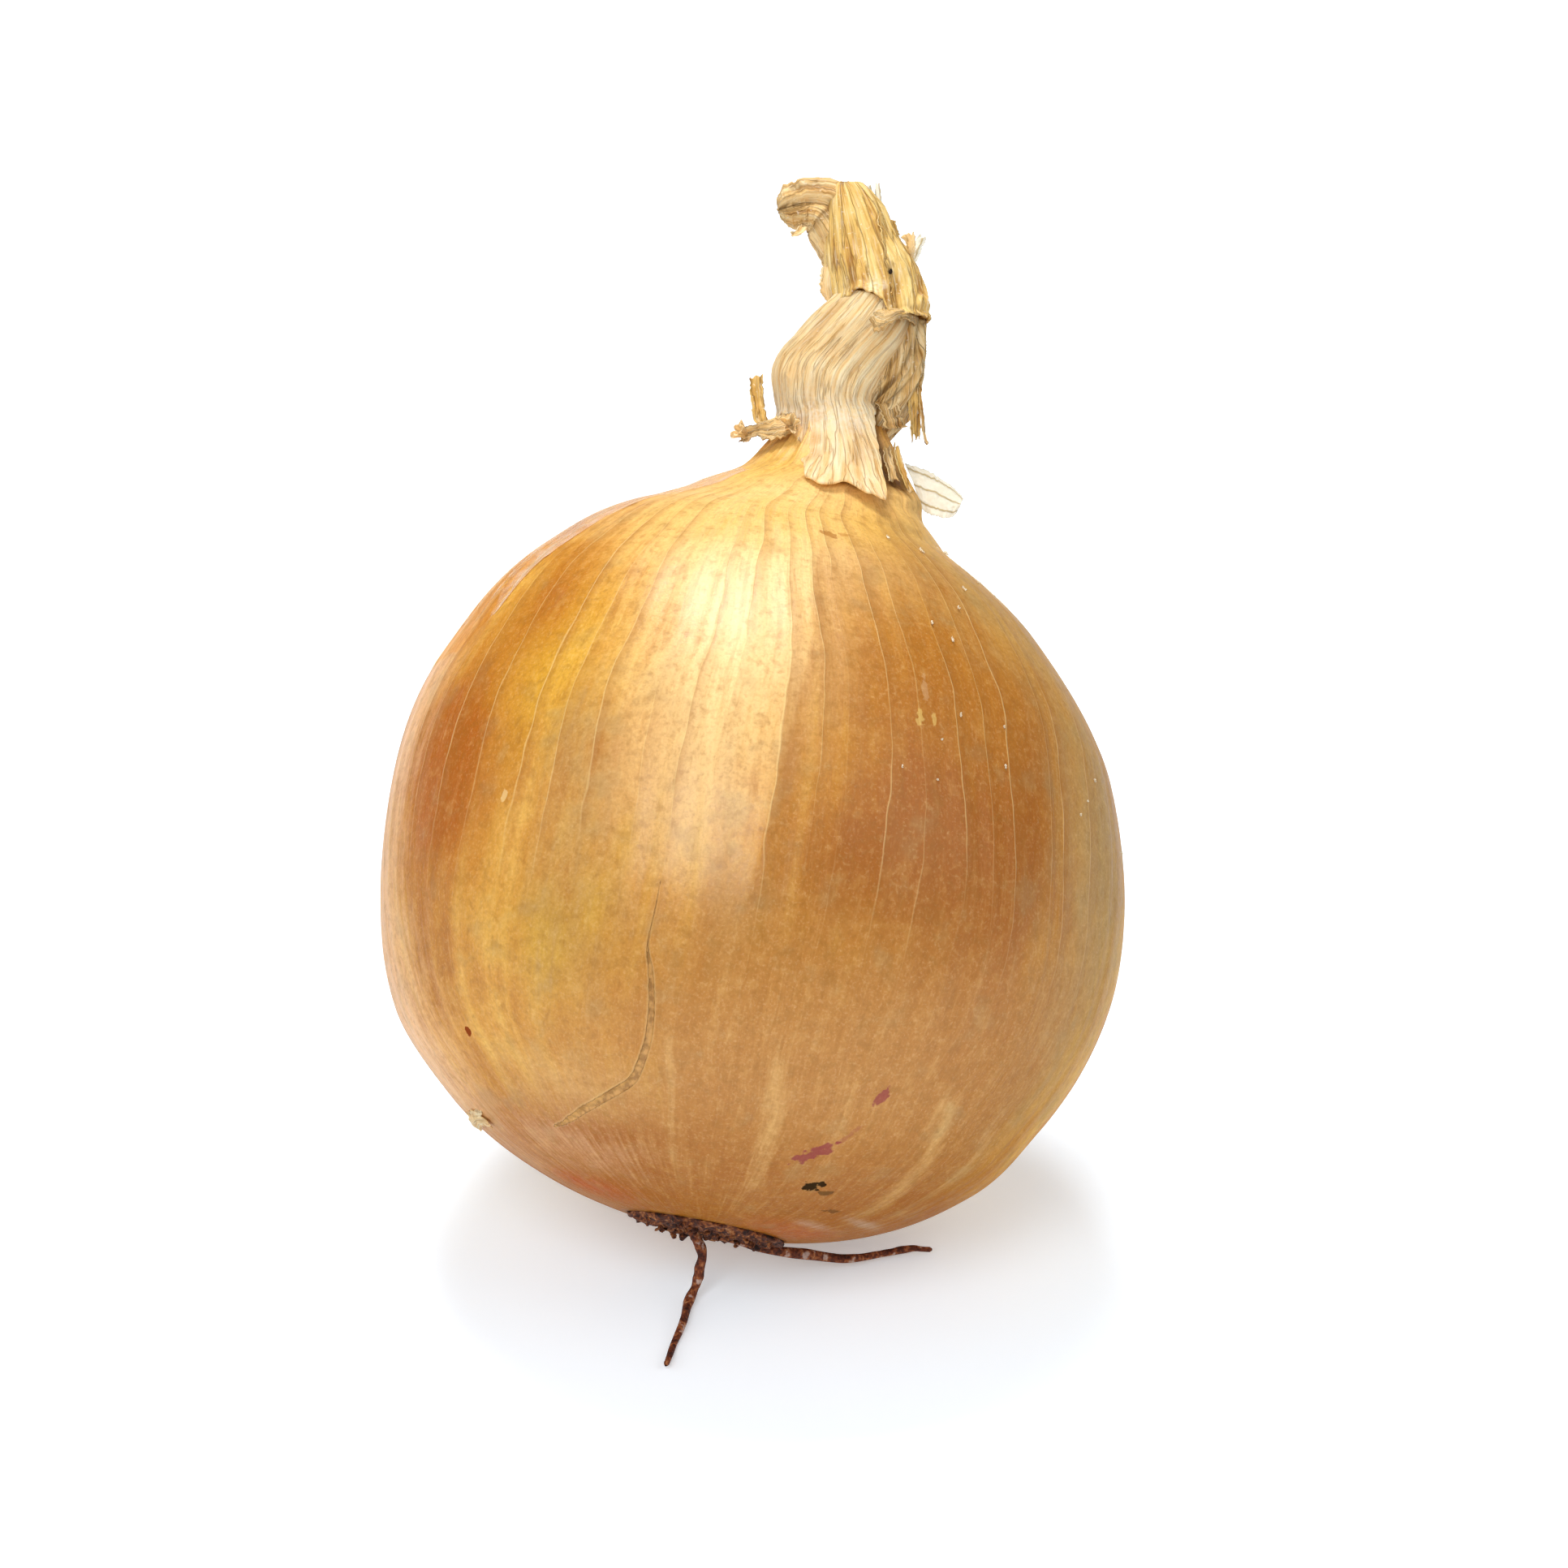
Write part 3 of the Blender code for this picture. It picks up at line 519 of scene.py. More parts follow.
def dried_root(name, bare, flaked, browns):
    """Adventitious roots and the basal plate they grow from, dried to cork: dark red-brown, matt and
    wrinkled, with paler patches where the rind has flaked."""
    made, node, shader, place, _growth = new_finish(name)
    coarse, fine = (node("TexNoise", {0: place, "Scale": 1 / size, "Detail": 3}) for size in (1.3, 0.35))
    broad = node("Math", (coarse, 0.5), operation="MULTIPLY")
    tone = node("Math", (fine, 0.5, broad), operation="MULTIPLY_ADD")
    rind = node("ValToRGB", (tone,), stops=list(zip((0.38, 0.49, 0.58, 0.68), browns)))
    patches = node("MapRange", (coarse, 0.58, 0.66, 0.0, flaked), interpolation_type="SMOOTHSTEP")
    rind = node("Mix", {FACTOR: patches, UNDER: rind, OVER: colour(bare)}, MIXED, data_type="RGBA")
    link(made, rind, shader, "Base Color")
    shader.inputs["Roughness"].default_value = 0.75
    shader.inputs["Specular IOR Level"].default_value = 0.3
    relief = node("Math", (tone, 0.6), operation="MULTIPLY")
    link(made, node("Bump", {"Strength": 1.0, "Distance": MM, "Height": relief}), shader, "Normal")
    return made


# The bulb


def fine_outline():
    """The outline's (radius, height) in many small steps, from the root plate's seat up into the neck."""
    seat_turn = math.acos((PLATE_RADIUS / BULB_RADIUS) ** (LOWER_FULLNESS / 2))
    turn = seat_turn * (1 - np.arange(400) / 400)
    power = 2 / LOWER_FULLNESS
    lower = [BULB_RADIUS * np.cos(turn) ** power, -BULB_DEPTH * np.sin(turn) ** power]
    shoulder_turn = math.acos(SHOULDER_RADIUS / BULB_RADIUS)
    turn = shoulder_turn * np.arange(400) / 400
    upper = [BULB_RADIUS * np.cos(turn), BULB_RISE * np.sin(turn)]
    start = np.array([SHOULDER_RADIUS, BULB_RISE * math.sin(shoulder_turn)])
    end = np.array([NECK_RADIUS, NECK_FOOT])
    t = np.linspace(0, 1, 200)[:, None]
    handles = start + SHOULDER_HANDLE, end + NECK_HANDLE
    flare = (1 - t) ** 3 * start + 3 * t * (1 - t) ** 2 * handles[0]
    flare = flare + 3 * t * t * (1 - t) * handles[1] + t**3 * end
    return tuple(np.concatenate([lower[k], upper[k], flare[:, k]]) for k in (0, 1))


OUTLINE_RADIUS, OUTLINE_HEIGHT = fine_outline()

# The mesh is finer where the skin is split, at these veins and heights. Up the flare, rows follow the
# pleats.
SPLIT_VEINS = range(35, 42)
SPLIT_HEIGHTS = (-34, -5)
COLUMNS_AT_SPLIT, COLUMNS_A_VEIN = 22, 5
ROW_AT_SPLIT, ROW_AT_FLARE, ROW_ELSEWHERE = 0.30, 0.40, 0.9


def row_heights():
    """The height of each row of the bulb's mesh."""
    arc = np.concatenate([[0], np.cumsum(np.hypot(np.diff(OUTLINE_RADIUS), np.diff(OUTLINE_HEIGHT)))])
    split_arcs = np.interp(SPLIT_HEIGHTS, OUTLINE_HEIGHT, arc)
    flare_arc = np.interp(36, OUTLINE_HEIGHT, arc)
    stretches = [(0, split_arcs[0], ROW_ELSEWHERE), (*split_arcs, ROW_AT_SPLIT)]
    stretches += [(split_arcs[1], flare_arc, ROW_ELSEWHERE), (flare_arc, arc[-1], ROW_AT_FLARE)]
    arcs = [np.linspace(low, high, round((high - low) / row), endpoint=False) for low, high, row in stretches]
    return np.interp(np.concatenate([*arcs, arc[-1:]]), arc, OUTLINE_HEIGHT)


def column_veins():
    """Where each column of the bulb's mesh runs, counted in veins, and back at the start."""
    counts = [COLUMNS_AT_SPLIT if k in SPLIT_VEINS else COLUMNS_A_VEIN for k in range(VEINS)]
    return np.concatenate([*(k + np.arange(n) / n for k, n in enumerate(counts)), [VEINS]])


def radius_at(height):
    return np.interp(height, OUTLINE_HEIGHT, OUTLINE_RADIUS)


def vein_turns():
    draw = random.Random(7)
    turns = [2 * math.pi * (k + VEIN_JITTER * draw.uniform(-1, 1)) / VEINS for k in range(VEINS)]
    return [*turns, turns[0] + 2 * math.pi]


def on_bulb(turn, height, lift=0.0):
    """Points on the bulb's smooth surface, or lifted off it, in the onion's own frame."""
    lobes = 1 + 0.006 * np.cos(3 * turn + 0.8) + 0.004 * np.cos(5 * turn + 2.1)
    reach = radius_at(height) * lobes + lift
    x = through(DRIFT, height) + reach * np.cos(turn)
    return np.stack([x, reach * np.sin(turn), height + 0 * turn], -1)


# Keels, where the next scale leaf's rib lifts the skin: the turns at heights 35 and -5, how far it stands
# out, the heights it runs between, and how much darker its far side is painted, as painted shade
KEELS = [
    (-82.6, -89.0, 0.24, -14, 38, 0.55),
    (-74.8, -78.0, 0.12, -8, 33, 0.25),
    (-66.0, -69.5, 0.14, -10, 34, 0.45),
    (-61.0, -64.0, 0.10, 2, 32, 0.20),
    (-115.0, -124.0, 0.15, -26, 30, 0.30),
    (-140.0, -146.0, 0.15, -20, 34, 0.25),
    (-40.0, -48.0, 0.18, -24, 34, 0.35),
    (-20.0, -26.0, 0.20, -20, 36, 0.40),
    (30.0, 26.0, 0.25, -25, 36, 0.30),
    (95.0, 88.0, 0.30, -25, 36, 0.40),
    (160.0, 158.0, 0.20, -25, 36, 0.30),
]
KEEL_WIDTH, KEEL_SHADE_WIDTH = 9.0, 5.5


def around(turn, other_degrees):
    """The turn from another one, between -180 and 180 degrees."""
    return (np.degrees(turn) - other_degrees + 180) % 360 - 180


def keel_places(turn, height):
    """For each keel: how far past it each point lies in degrees, and how much of it there is at that height,
    then how far it stands out and how dark its far side is painted as shade."""
    for top, low, out, start, end, shade in KEELS:
        past = around(turn, low + (top - low) * (height + 5) / 40)
        yield past, smooth_step((height - start) / 12) * smooth_step((end - height) / 10), out, shade


# The slit beside the neck's front patch, sunk into the bulb and painted dark as shade, in degrees and heights
SLIT_TURNS, SLIT_HEIGHTS, SLIT_DEPTH = (-58, -19), (41.6, 50.5), 1.4


def slit_amount(turn, height):
    sides = smooth_step((around(turn, SLIT_TURNS[0])) / 10) * smooth_step(-around(turn, SLIT_TURNS[1]) / 3.5)
    low, high = SLIT_HEIGHTS
    return sides * smooth_step((height - low) / 2.5) * smooth_step((high - height) / 2)


def bulb_relief(veins_round, turn, height):
    """How far the skin stands off the smooth bulb: ribs, keels, dents, the neck's pleats and the slit."""
    fade = smooth_step(radius_at(height) / 20)
    relief = 0.05 * np.cos(2 * math.pi * veins_round) * fade - 0.18
    for past, amount, out, _shade in keel_places(turn, height):
        relief = relief + out * amount * np.exp(-np.abs(past) / KEEL_WIDTH)
    relief = relief + 0.22 * noise(turn * 14 / (2 * math.pi), height / 14, 21, 14)
    relief = relief + 0.08 * noise(veins_round * 0.5, height / 9, 22, VEINS // 2)
    pleat_fade = smooth_step((height - 37) / 8)
    folds = 1 - 2 * np.abs(noise(veins_round * 0.5, height / 16, 23, VEINS // 2))
    finer = 1 - 2 * np.abs(noise(veins_round, height / 12, 24, VEINS))
    relief = relief + pleat_fade * (0.40 * folds + 0.25 * finer)
    return relief - SLIT_DEPTH * slit_amount(turn, height)


# The split in the skin, as turn in degrees, height, and half its width in mm
SPLIT = [
    (-102.0, -6.0, 0.02),
    (-102.2, -9.5, 0.04),
    (-102.5, -12.9, 0.10),
    (-101.4, -15.5, 0.24),
    (-100.7, -19.3, 0.32),
    (-101.4, -22.0, 0.36),
    (-104.6, -25.1, 0.42),
    (-108.6, -26.5, 0.46),
    (-113.5, -27.7, 0.44),
    (-119.9, -29.0, 0.42),
    (-126.0, -30.0, 0.30),
    (-132.0, -30.6, 0.04),
]
SPLIT_DEPTH, LIP_HEIGHT = 0.26, 0.10


def split_fields(grid):
    """How far across the split each point lies, and half its width there, which is below 0 off it."""
    t = np.linspace(0, len(SPLIT) - 1, 120)
    turn, height, width = along_spline(SPLIT, t).T
    path = on_bulb(np.radians(turn), height)
    points = grid.reshape(-1, 3)
    across = np.full(len(points), 5.0)
    half = np.full(len(points), -1.0)
    near = np.where(np.linalg.norm(points - path.mean(axis=0), axis=1) < 24)[0]
    starts, steps = path[:-1], np.diff(path, axis=0)
    offsets = points[near, None] - starts[None]
    reach = np.clip((offsets * steps).sum(-1) / (steps**2).sum(-1), 0, 1)
    gaps = offsets - reach[..., None] * steps
    distance = np.linalg.norm(gaps, axis=-1)
    nearest = distance.argmin(axis=1)
    pick = np.arange(len(near)), nearest
    sign = np.sign((np.cross(steps[nearest], points[near]) * gaps[pick]).sum(-1))
    across[near] = np.minimum(distance[pick], 5.0) * sign
    inner = (nearest > 0) & (nearest < len(steps) - 1)
    half[near] = np.where(inner, width[nearest] + reach[pick] * np.diff(width)[nearest], -1.0)
    return across.reshape(grid.shape[:2]), half.reshape(grid.shape[:2])


# Where the skin's colour changes, and where highlight, reflection and shade are painted into it: turn in
# degrees, height, half width and half height in mm, and strength
STAINS = {
    # The blobs at -97, -96 and -101 are painted highlight where the broad highlights fall; the rest are paler
    # skin
    "straw": [
        (-97, 35, 13, 8, 0.9), (-113, -31, 9, 6, 0.6), (-150, 40, 10, 5, 0.3), (-96, 20, 11, 12, 0.9),
        (-101, 4, 7, 10, 0.7), (-92, 46, 8, 4, 0.3), (60, 40, 30, 9, 0.6),
    ],
    "gold": [
        (-119, -14, 2.5, 4, 0.9), (-112, -10, 1.5, 3, 0.7), (-108, -3, 1.2, 2.5, 0.6),
        (-65, 15, 0.7, 1.6, 1.2), (-130, 15, 9, 11, 0.8), (-105, 34, 10, 5, 0.4), (-122, 43, 6, 4, 0.5),
        (-60, 36, 8, 4, 0.5), (-117, -14, 9, 9, 0.35),
    ],
    "amber": [
        (-145, 3, 8, 12, 1.4), (-134, 22, 5, 7, 0.7), (-52, 33, 8, 5, 0.2), (40, 5, 20, 14, 0.6),
        (130, 10, 14, 16, 0.6),
    ],
    "bronze": [
        (-50, 20, 14, 13, 0.9), (-72, 16, 6, 10, 0.4), (-66, -26, 17, 12, 1.7), (-84, -14, 18, 8, 0.5),
        (-45, -20, 14, 14, 1.0), (-152, -10, 7, 10, 0.3),
    ],
    # The two low blobs at height -37 darken the underside as painted shade; the rest are a browner stain
    "umber_and_painted_shade": [
        (-66, 2, 9, 11, 1.0), (-52, -1, 8, 13, 0.9), (-78, -5, 6, 7, 0.5), (-42, 10, 6, 12, 0.6),
        (-66, -37, 22, 8, 2.2), (-95, -37, 14, 4, 1.4), (80, -5, 16, 16, 0.5),
    ],
    "olive": [
        (-116, -10, 6, 10, 0.5), (-22, 8, 10, 26, 1.0), (-40, 32, 9, 7, 0.6), (-118, 6, 5, 8, 0.4),
        (-90, -8, 4, 8, 0.4),
    ],
    # Peach on the left rim, partly the skin's own colour and partly painted reflection
    "flush_and_rim_reflection": [(-168, 8, 8, 24, 1.1), (-168, -22, 10, 10, 0.8), (-130, -32, 10, 3, 0.3)],
    "tan": [(-88, -20, 16, 14, 0.6), (-56, -18, 16, 14, 0.5), (-105, 4, 6, 9, 0.4), (150, -20, 20, 12, 0.5)],
    "rust": [(-138, -35.0, 4, 0.8, 0.8), (-153, -34.6, 3, 0.8, 0.7), (-38, -35.6, 6, 0.8, 0.7)],
    "chalk": [(-26, -33.6, 4, 0.4, 0.35), (-40, -34.8, 3, 0.3, 0.3)],
}

# Pale ribs low on the bulb, like stains but turned: turns at heights -19 and -33, half width in mm, strength
PALE_RIBS = [
    (-78.5, -76.2, 1.1, 0.55),
    (-46.0, -34.0, 1.4, 0.55),
    (-66.0, -60.0, 1.0, 0.2),
    (-97.0, -98.5, 0.4, 0.4),
    (-30.0, -22.0, 1.3, 0.25),
]

# Painted shadow under the hem of the neck's front patch, given like a stain
PATCH_SHADE = [(-70, 41.7, 3.0, 0.6, 0.8), (-82, 41.5, 2.0, 0.5, 0.5), (-58, 42.2, 1.5, 0.9, 1.0)]

# Small marks: turn, height, half width and half height in mm, tilt in degrees, strength and colour. They
# are a corky scar by the neck in two parts, a brown dot, a purple bruise in three, a mould spot with two
# faint ones, and four pale glints, which are painted highlights.
MARKS = [
    (-78.5, 33.9, 1.0, 0.75, -8, 0.60, "#8E4F12"),
    (-73.5, 34.3, 0.8, 0.45, 10, 0.45, "#9A5A1A"),
    (-141.4, -22.9, 0.45, 0.6, -30, 0.95, "#7A2E0C"),
    (-65.4, -29.0, 2.4, 0.80, 52, 0.75, "#843440"),
    (-60.5, -26.6, 1.6, 0.40, 60, 0.30, "#8A3A44"),
    (-57.4, -22.2, 1.3, 0.60, 68, 0.70, "#843442"),
    (-59.8, -31.7, 1.2, 0.90, 35, 0.95, "#1E160A"),
    (-54.5, -32.0, 0.8, 0.50, 20, 0.70, "#4A3417"),
    (-46.0, -33.4, 1.0, 0.45, 20, 0.60, "#4A3417"),
    # Painted highlights
    (-65.0, 15.0, 0.45, 1.0, 0, 0.30, "#F0D680"),
    (-62.4, 15.3, 0.30, 0.7, 0, 0.30, "#F0D680"),
    (-64.0, 18.2, 0.50, 1.6, 0, 0.12, "#F4E2B8"),
    (-130.0, 0.0, 0.40, 0.7, 0, 0.35, "#EFD9A0"),
]


def mark_place(turn_degrees, height, tilt):
    """A mark's middle in the row's frame, in mm, and how it is turned: across the skin, along it and out
    of it."""
    turn = np.radians(turn_degrees)
    here, above = on_bulb(turn, height), on_bulb(turn, height + 0.5)
    up = Vector(above - here).normalized()
    out = Vector((math.cos(turn), math.sin(turn), 0))
    out = (out - up * out.dot(up)).normalized()
    facing = Matrix((up.cross(out), up, out)).transposed() @ Matrix.Rotation(math.radians(tilt), 3, "Z")
    facing = GROWN_TO_ROW.to_3x3().normalized() @ facing
    return (GROWN_TO_ROW @ Vector(here)) / MM, facing.to_euler()


def stain_field(blobs, turn, height):
    total = np.zeros_like(turn)
    for middle, level, wide, tall, strength in blobs:
        sideways = np.radians(around(turn, middle)) * radius_at(level) / wide
        total += strength * np.exp(-(sideways**2) - ((height - level) / tall) ** 2)
    return total


def skin_fields(turn, height):
    """The named values that the skin's finish reads, one for each point of the mesh."""
    fields = {name: stain_field(blobs, turn, height) for name, blobs in STAINS.items()}
    fields["rib"] = np.zeros_like(turn)
    # Painted shade on each keel's far side
    for past, amount, _out, shade in keel_places(turn, height):
        fields["umber_and_painted_shade"] += shade * amount * smooth_step(past / 1.2) * np.exp(-np.abs(past) / KEEL_SHADE_WIDTH)
    for high, low, wide, strength in PALE_RIBS:
        path = low + (high - low) * (height + 33) / 14
        sideways = np.radians(around(turn, path)) * radius_at(height) / wide
        window = smooth_step((height + 35) / 4) * smooth_step((-18 - height) / 5)
        fields["rib"] += strength * window * np.exp(-(sideways**2))
    # Painted shade in the slit and painted shadow under the front patch's hem
    fields["shade"] = 1.6 * slit_amount(turn, height) + stain_field(PATCH_SHADE, turn, height)
    upper, right = smooth_step((height + 14) / 22), smooth_step(-around(turn, -22) / 30 + 0.4)
    fields["vein_strength"] = 0.10 + 0.90 * upper * right * (1 - 0.5 * smooth_step((height - 34) / 8))
    return fields


def build_bulb(finish):
    """The bulb's skin, closed from the plate's seat up into the neck. Its columns follow the veins."""
    veins_round = column_veins()
    start_turn = np.interp(veins_round, np.arange(VEINS + 1), vein_turns())
    height = row_heights()[:, None] + np.zeros(len(veins_round))
    rise = height / BULB_RISE
    turn = start_turn + 0.035 * np.sin(2.3 * rise + 3 * start_turn)
    turn = turn + 0.012 * np.sin(6 * rise + 5 * start_turn)
    turn, height = turn[:, :-1], height[:, :-1]
    relief = bulb_relief(veins_round[None, :-1] + 0 * height, turn, height)
    fields = skin_fields(turn, height)
    across, width = split_fields(on_bulb(turn, height))
    fields["split_across"], fields["split_width"] = across, width
    past_edge = np.abs(across) - width
    relief = relief - SPLIT_DEPTH * smooth_step(0.5 - past_edge / 0.16) * smooth_step(width / 0.1)
    relief = relief + LIP_HEIGHT * smooth_step(width / 0.2) * np.exp(-(((past_edge - 0.15) / 0.25) ** 2))
    grid = on_bulb(turn, height, relief)
    seat = grid[0].mean(axis=0)
    for shrink, up in ((0.97, 0.0), (0.5, 0.2), (0.02, 0.2)):
        ring = seat + (on_bulb(turn[0], height[0]) - seat) * shrink + (0, 0, PLATE_SEAT_DEPTH + up)
        grid = np.vstack([ring[None], grid])
        fields = {name: np.vstack([values[:1], values]) for name, values in fields.items()}
    skin = add_surface("bulb_skin", grid, finish, veins_round, closed=True, fields=fields)
    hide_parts("bulb")
    return skin


# The neck


def swept(stations, t, angle, relief=0.0, follow=1.0):
    """Points of an oval swept along a curved spine. A station is x, y, z, half width, half depth and turn in
    degrees, and follow says how far the oval tilts with the spine."""
    here = along_spline(stations, t)
    ahead, behind = along_spline(stations, t + 0.05), along_spline(stations, t - 0.05)
    spine = unit((ahead - behind)[..., :3]) * follow + np.array([0, 0, 1 - follow])
    spine = unit(spine)
    wide = unit(np.cross([0.0, 1.0, 0.0], spine))
    deep = np.cross(spine, wide)
    out = wide * (np.cos(angle) * (here[..., 3] + relief))[..., None]
    out = out + deep * (np.sin(angle) * (here[..., 4] + relief))[..., None]
    spin = np.radians(here[..., 5])[..., None]
    return here[..., :3] + out * np.cos(spin) + np.cross(spine, out) * np.sin(spin)


def pleats(angle, t, folds, seed):
    """Sharp ridges that wander a little along a sheath, and how deep in a fold each point lies, from 0
    to 1, which the finish paints darker as shade.
    """
    turns = angle / (2 * math.pi) + 0.02 * noise(t * 1.3, t * 0 + 0.5, seed + 9)
    broad = 1 - 2 * np.abs(noise(turns * folds, t * 0.6, seed, folds))
    middling = 1 - 2 * np.abs(noise(turns * folds * 2, t * 0.8, seed + 1, folds * 2))
    fine = 1 - 2 * np.abs(noise(turns * folds * 4, t * 1.0, seed + 2, folds * 4))
    relief = 0.46 * broad + 0.32 * middling + 0.22 * fine
    return relief, np.clip(0.45 - 1.1 * relief, 0, 1)


def torn(seed, amount, steps):
    """How far a torn edge strays along the sheath at each angle."""

    def stray(angle):
        turns = angle / (2 * math.pi)
        slow, quick = noise(turns * steps / 3, 0 * angle, seed), noise(turns * steps, 0 * angle, seed + 1)
        return amount * (0.6 * slow + 0.4 * quick)

    return stray


def build_sheath(name, finish, stations, folds, depth, seed, hem=None, columns=240, rows=120, follow=1.0,
                 shape=None, worn=None, dark=None, twist=0.0):
    """A pleated sheath. Hem gives where it starts along its stations at each angle, depth how far its
    pleats stand out, and shape adds to its girth. Worn says where it is chafed, dark where shade is painted
    into a fold or recess, and twist how far its pleats turn in each stretch."""
    angle = np.radians(np.linspace(0, 360, columns + 1))
    start = hem(angle[:-1]) if hem else 0 * angle[:-1]
    t = start + (len(stations) - 1 - start) * np.linspace(0, 1, rows)[:, None]
    round_ = angle[:-1] + 0 * t
    relief, shade_and_mottle = pleats(round_ - twist * t, t, folds, seed)
    relief = relief * (depth(round_, t) if callable(depth) else depth)
    if shape:
        relief = relief + shape(round_, t, t - start)
    grid = swept(stations, t, round_, relief, follow)
    mean_width = float(np.mean([half_width for _x, _y, _z, half_width, _depth, _turn in stations[2:]]))
    # Painted shade in the pleats' folds, with more painted where dark says
    shade_and_mottle = np.clip(shade_and_mottle + (dark(round_, t) if dark else 0), 0, 1)
    fields = {"shade_and_mottle": shade_and_mottle, "worn": worn(round_, t) if worn else 0.0}
    made = add_surface(name, grid, finish, angle * mean_width, closed=True, thickness=0.2, fields=fields)
    return made


# Spines of the neck's sheaths: x, y, z, half width, half depth, turn in degrees
MIDDLE_SHEATH = [
    (0.3, 0, 39.4, 13.9, 13.5, 0),
    (0.3, 0, 43.4, 9.3, 9.0, 0),
    (0.1, 0, 45.5, 7.7, 7.3, 0),
    (-0.4, 0, 47.6, 6.4, 6.0, 0),
    (-1.2, -0.2, 49.7, 5.7, 5.1, 2),
    (-2.0, -0.4, 51.6, 5.5, 4.8, 4),
    (-2.05, -0.4, 54.2, 5.8, 4.7, 7),
    (-0.9, -0.4, 57.0, 5.4, 4.5, 11),
    (0.8, -0.2, 60.2, 5.3, 4.4, 14),
    (1.7, 0.1, 62.8, 4.6, 4.0, 16),
]
# Where the middle sheath starts at each angle in degrees: low in front as a patch on the collar, higher
# elsewhere
PATCH_HEM = [
    (-360, 4.7), (-348, 4.0), (-335, 3.2), (-200, 3.0), (-175, 3.5), (-155, 4.1), (-140, 4.0), (-130, 3.3),
    (-119, 2.2), (-109, 1.0), (-100, 0.40), (-92, 0.28), (-80, 0.38), (-70, 0.28), (-63, 0.14), (-60.5, 0.4),
    (-58, 1.3), (-55, 2.2), (-49, 2.9), (-43, 3.5), (-34, 4.1), (-24, 4.6), (0, 4.7),
]
BACK_FOLD = [
    (2.8, 1.2, 48.9, 1.6, 2.0, 0),
    (3.7, 1.3, 51.0, 2.1, 3.0, -6),
    (4.7, 1.2, 54.2, 2.6, 3.4, -10),
    (4.7, 1.0, 57.8, 2.8, 3.2, -12),
    (3.9, 0.8, 61.8, 2.5, 2.8, -14),
]
COLUMN = [
    (2.6, -0.1, 60.2, 4.8, 4.3, 0),
    (1.8, 0, 62.2, 5.1, 4.2, 2),
    (0.8, 0.2, 64.8, 4.9, 3.8, 5),
    (-0.5, 0.4, 67.4, 4.5, 3.4, 8),
    (-1.9, 0.7, 70.4, 3.7, 3.1, 10),
    (-3.3, 1.0, 73.2, 2.7, 2.5, 12),
    (-4.1, 1.3, 74.9, 1.6, 1.5, 12),
    (-4.2, 1.4, 75.5, 0.5, 0.5, 12),
]
# Where the column starts at each angle: higher at its left, low where its torn flap hangs at the right
COLUMN_HEM = [
    (0, 0.1), (60, 0.5), (180, 1.0), (240, 1.6), (262, 1.4), (274, 1.0), (281, 0.2), (300, 0.05), (340, 0.1),
    (360, 0.1),
]
HOOK = [
    (0.0, 1.4, 65.2, 3.4, 2.3, 0),
    (-1.2, 1.5, 67.6, 3.6, 2.6, 4),
    (-3.1, 1.7, 70.2, 3.6, 2.8, 8),
    (-5.2, 1.9, 72.3, 3.2, 2.8, 10),
    (-7.2, 2.1, 72.8, 2.8, 2.5, 8),
    (-8.8, 2.2, 72.4, 2.5, 2.2, 4),
    (-10.0, 2.2, 71.9, 2.0, 1.7, 0),
    (-10.7, 2.2, 71.6, 0.8, 0.7, 0),
]
HOOK_CREASE = -100


def before_full_turn(angle):
    """An angle in degrees, from -360 to 0."""
    return (np.degrees(angle) + 360) % 360 - 360


def middle_hem(angle):
    return through(PATCH_HEM, before_full_turn(angle)) + torn(51, 0.16, 70)(angle)


def middle_depth(angle, t):
    return 0.14 + 0.20 * smooth_step((t - 3.5) / 2)


def middle_worn(angle, t):
    return 0.8 * np.exp(-(((t - 4.0) / 1.3) ** 2))


def middle_shape(angle, t, above):
    """The patch curls off the collar at its right edge, and the bulge above is pinched in under the fold."""
    degrees = before_full_turn(angle)
    right = smooth_step((degrees + 72) / 22) * smooth_step((-20 - degrees) / 15)
    loose = np.exp(-above * 1.6) * smooth_step((degrees + 112) / 20) * smooth_step((3 - t) / 2)
    clear = 0.35 * smooth_step((4.6 - t) / 1.2) * smooth_step((degrees + 118) / 24)
    under = 0.35 * np.exp(-(((t - 4.5) / 0.45) ** 2)) * smooth_step((-120 - degrees) / 20)
    return clear + 0.7 * right * smooth_step((3.5 - t) / 2) + 0.35 * loose - under


def column_hem(angle):
    return through(COLUMN_HEM, np.degrees(angle)) + torn(54, 0.22, 60)(angle)


def column_depth(angle, t):
    """The column is smooth at its left and pleated at its right."""
    degrees = np.degrees(angle)
    return 0.10 + 0.44 * (smooth_step((degrees - 272) / 14) + smooth_step((90 - degrees) / 60))


def column_worn(angle, t):
    return 0.75 * np.exp(-(((t - 1.6) / 0.4) ** 2) - (around(angle, 268) / 15) ** 2)


def column_shape(angle, t, above):
    """The column flares at its hem, most where its torn flap hangs."""
    degrees = np.degrees(angle)
    flap = smooth_step((degrees - 278) / 12) * (1 - smooth_step((degrees - 320) / 35))
    return (0.35 + 0.55 * flap) * np.exp(-above * 5.0) - 0.15 * np.exp(-(((above - 0.35) / 0.15) ** 2))


def hook_shape(angle, t, above):
    """A crease divides the hook's end into two lips."""
    crease = np.exp(-((around(angle, HOOK_CREASE) / 13) ** 2))
    crinkles = 0.16 * noise(angle * 14 / (2 * math.pi), t * 7, 47, 14)
    return crinkles - 1.0 * crease * smooth_step((t - 1.6) / 1.2)


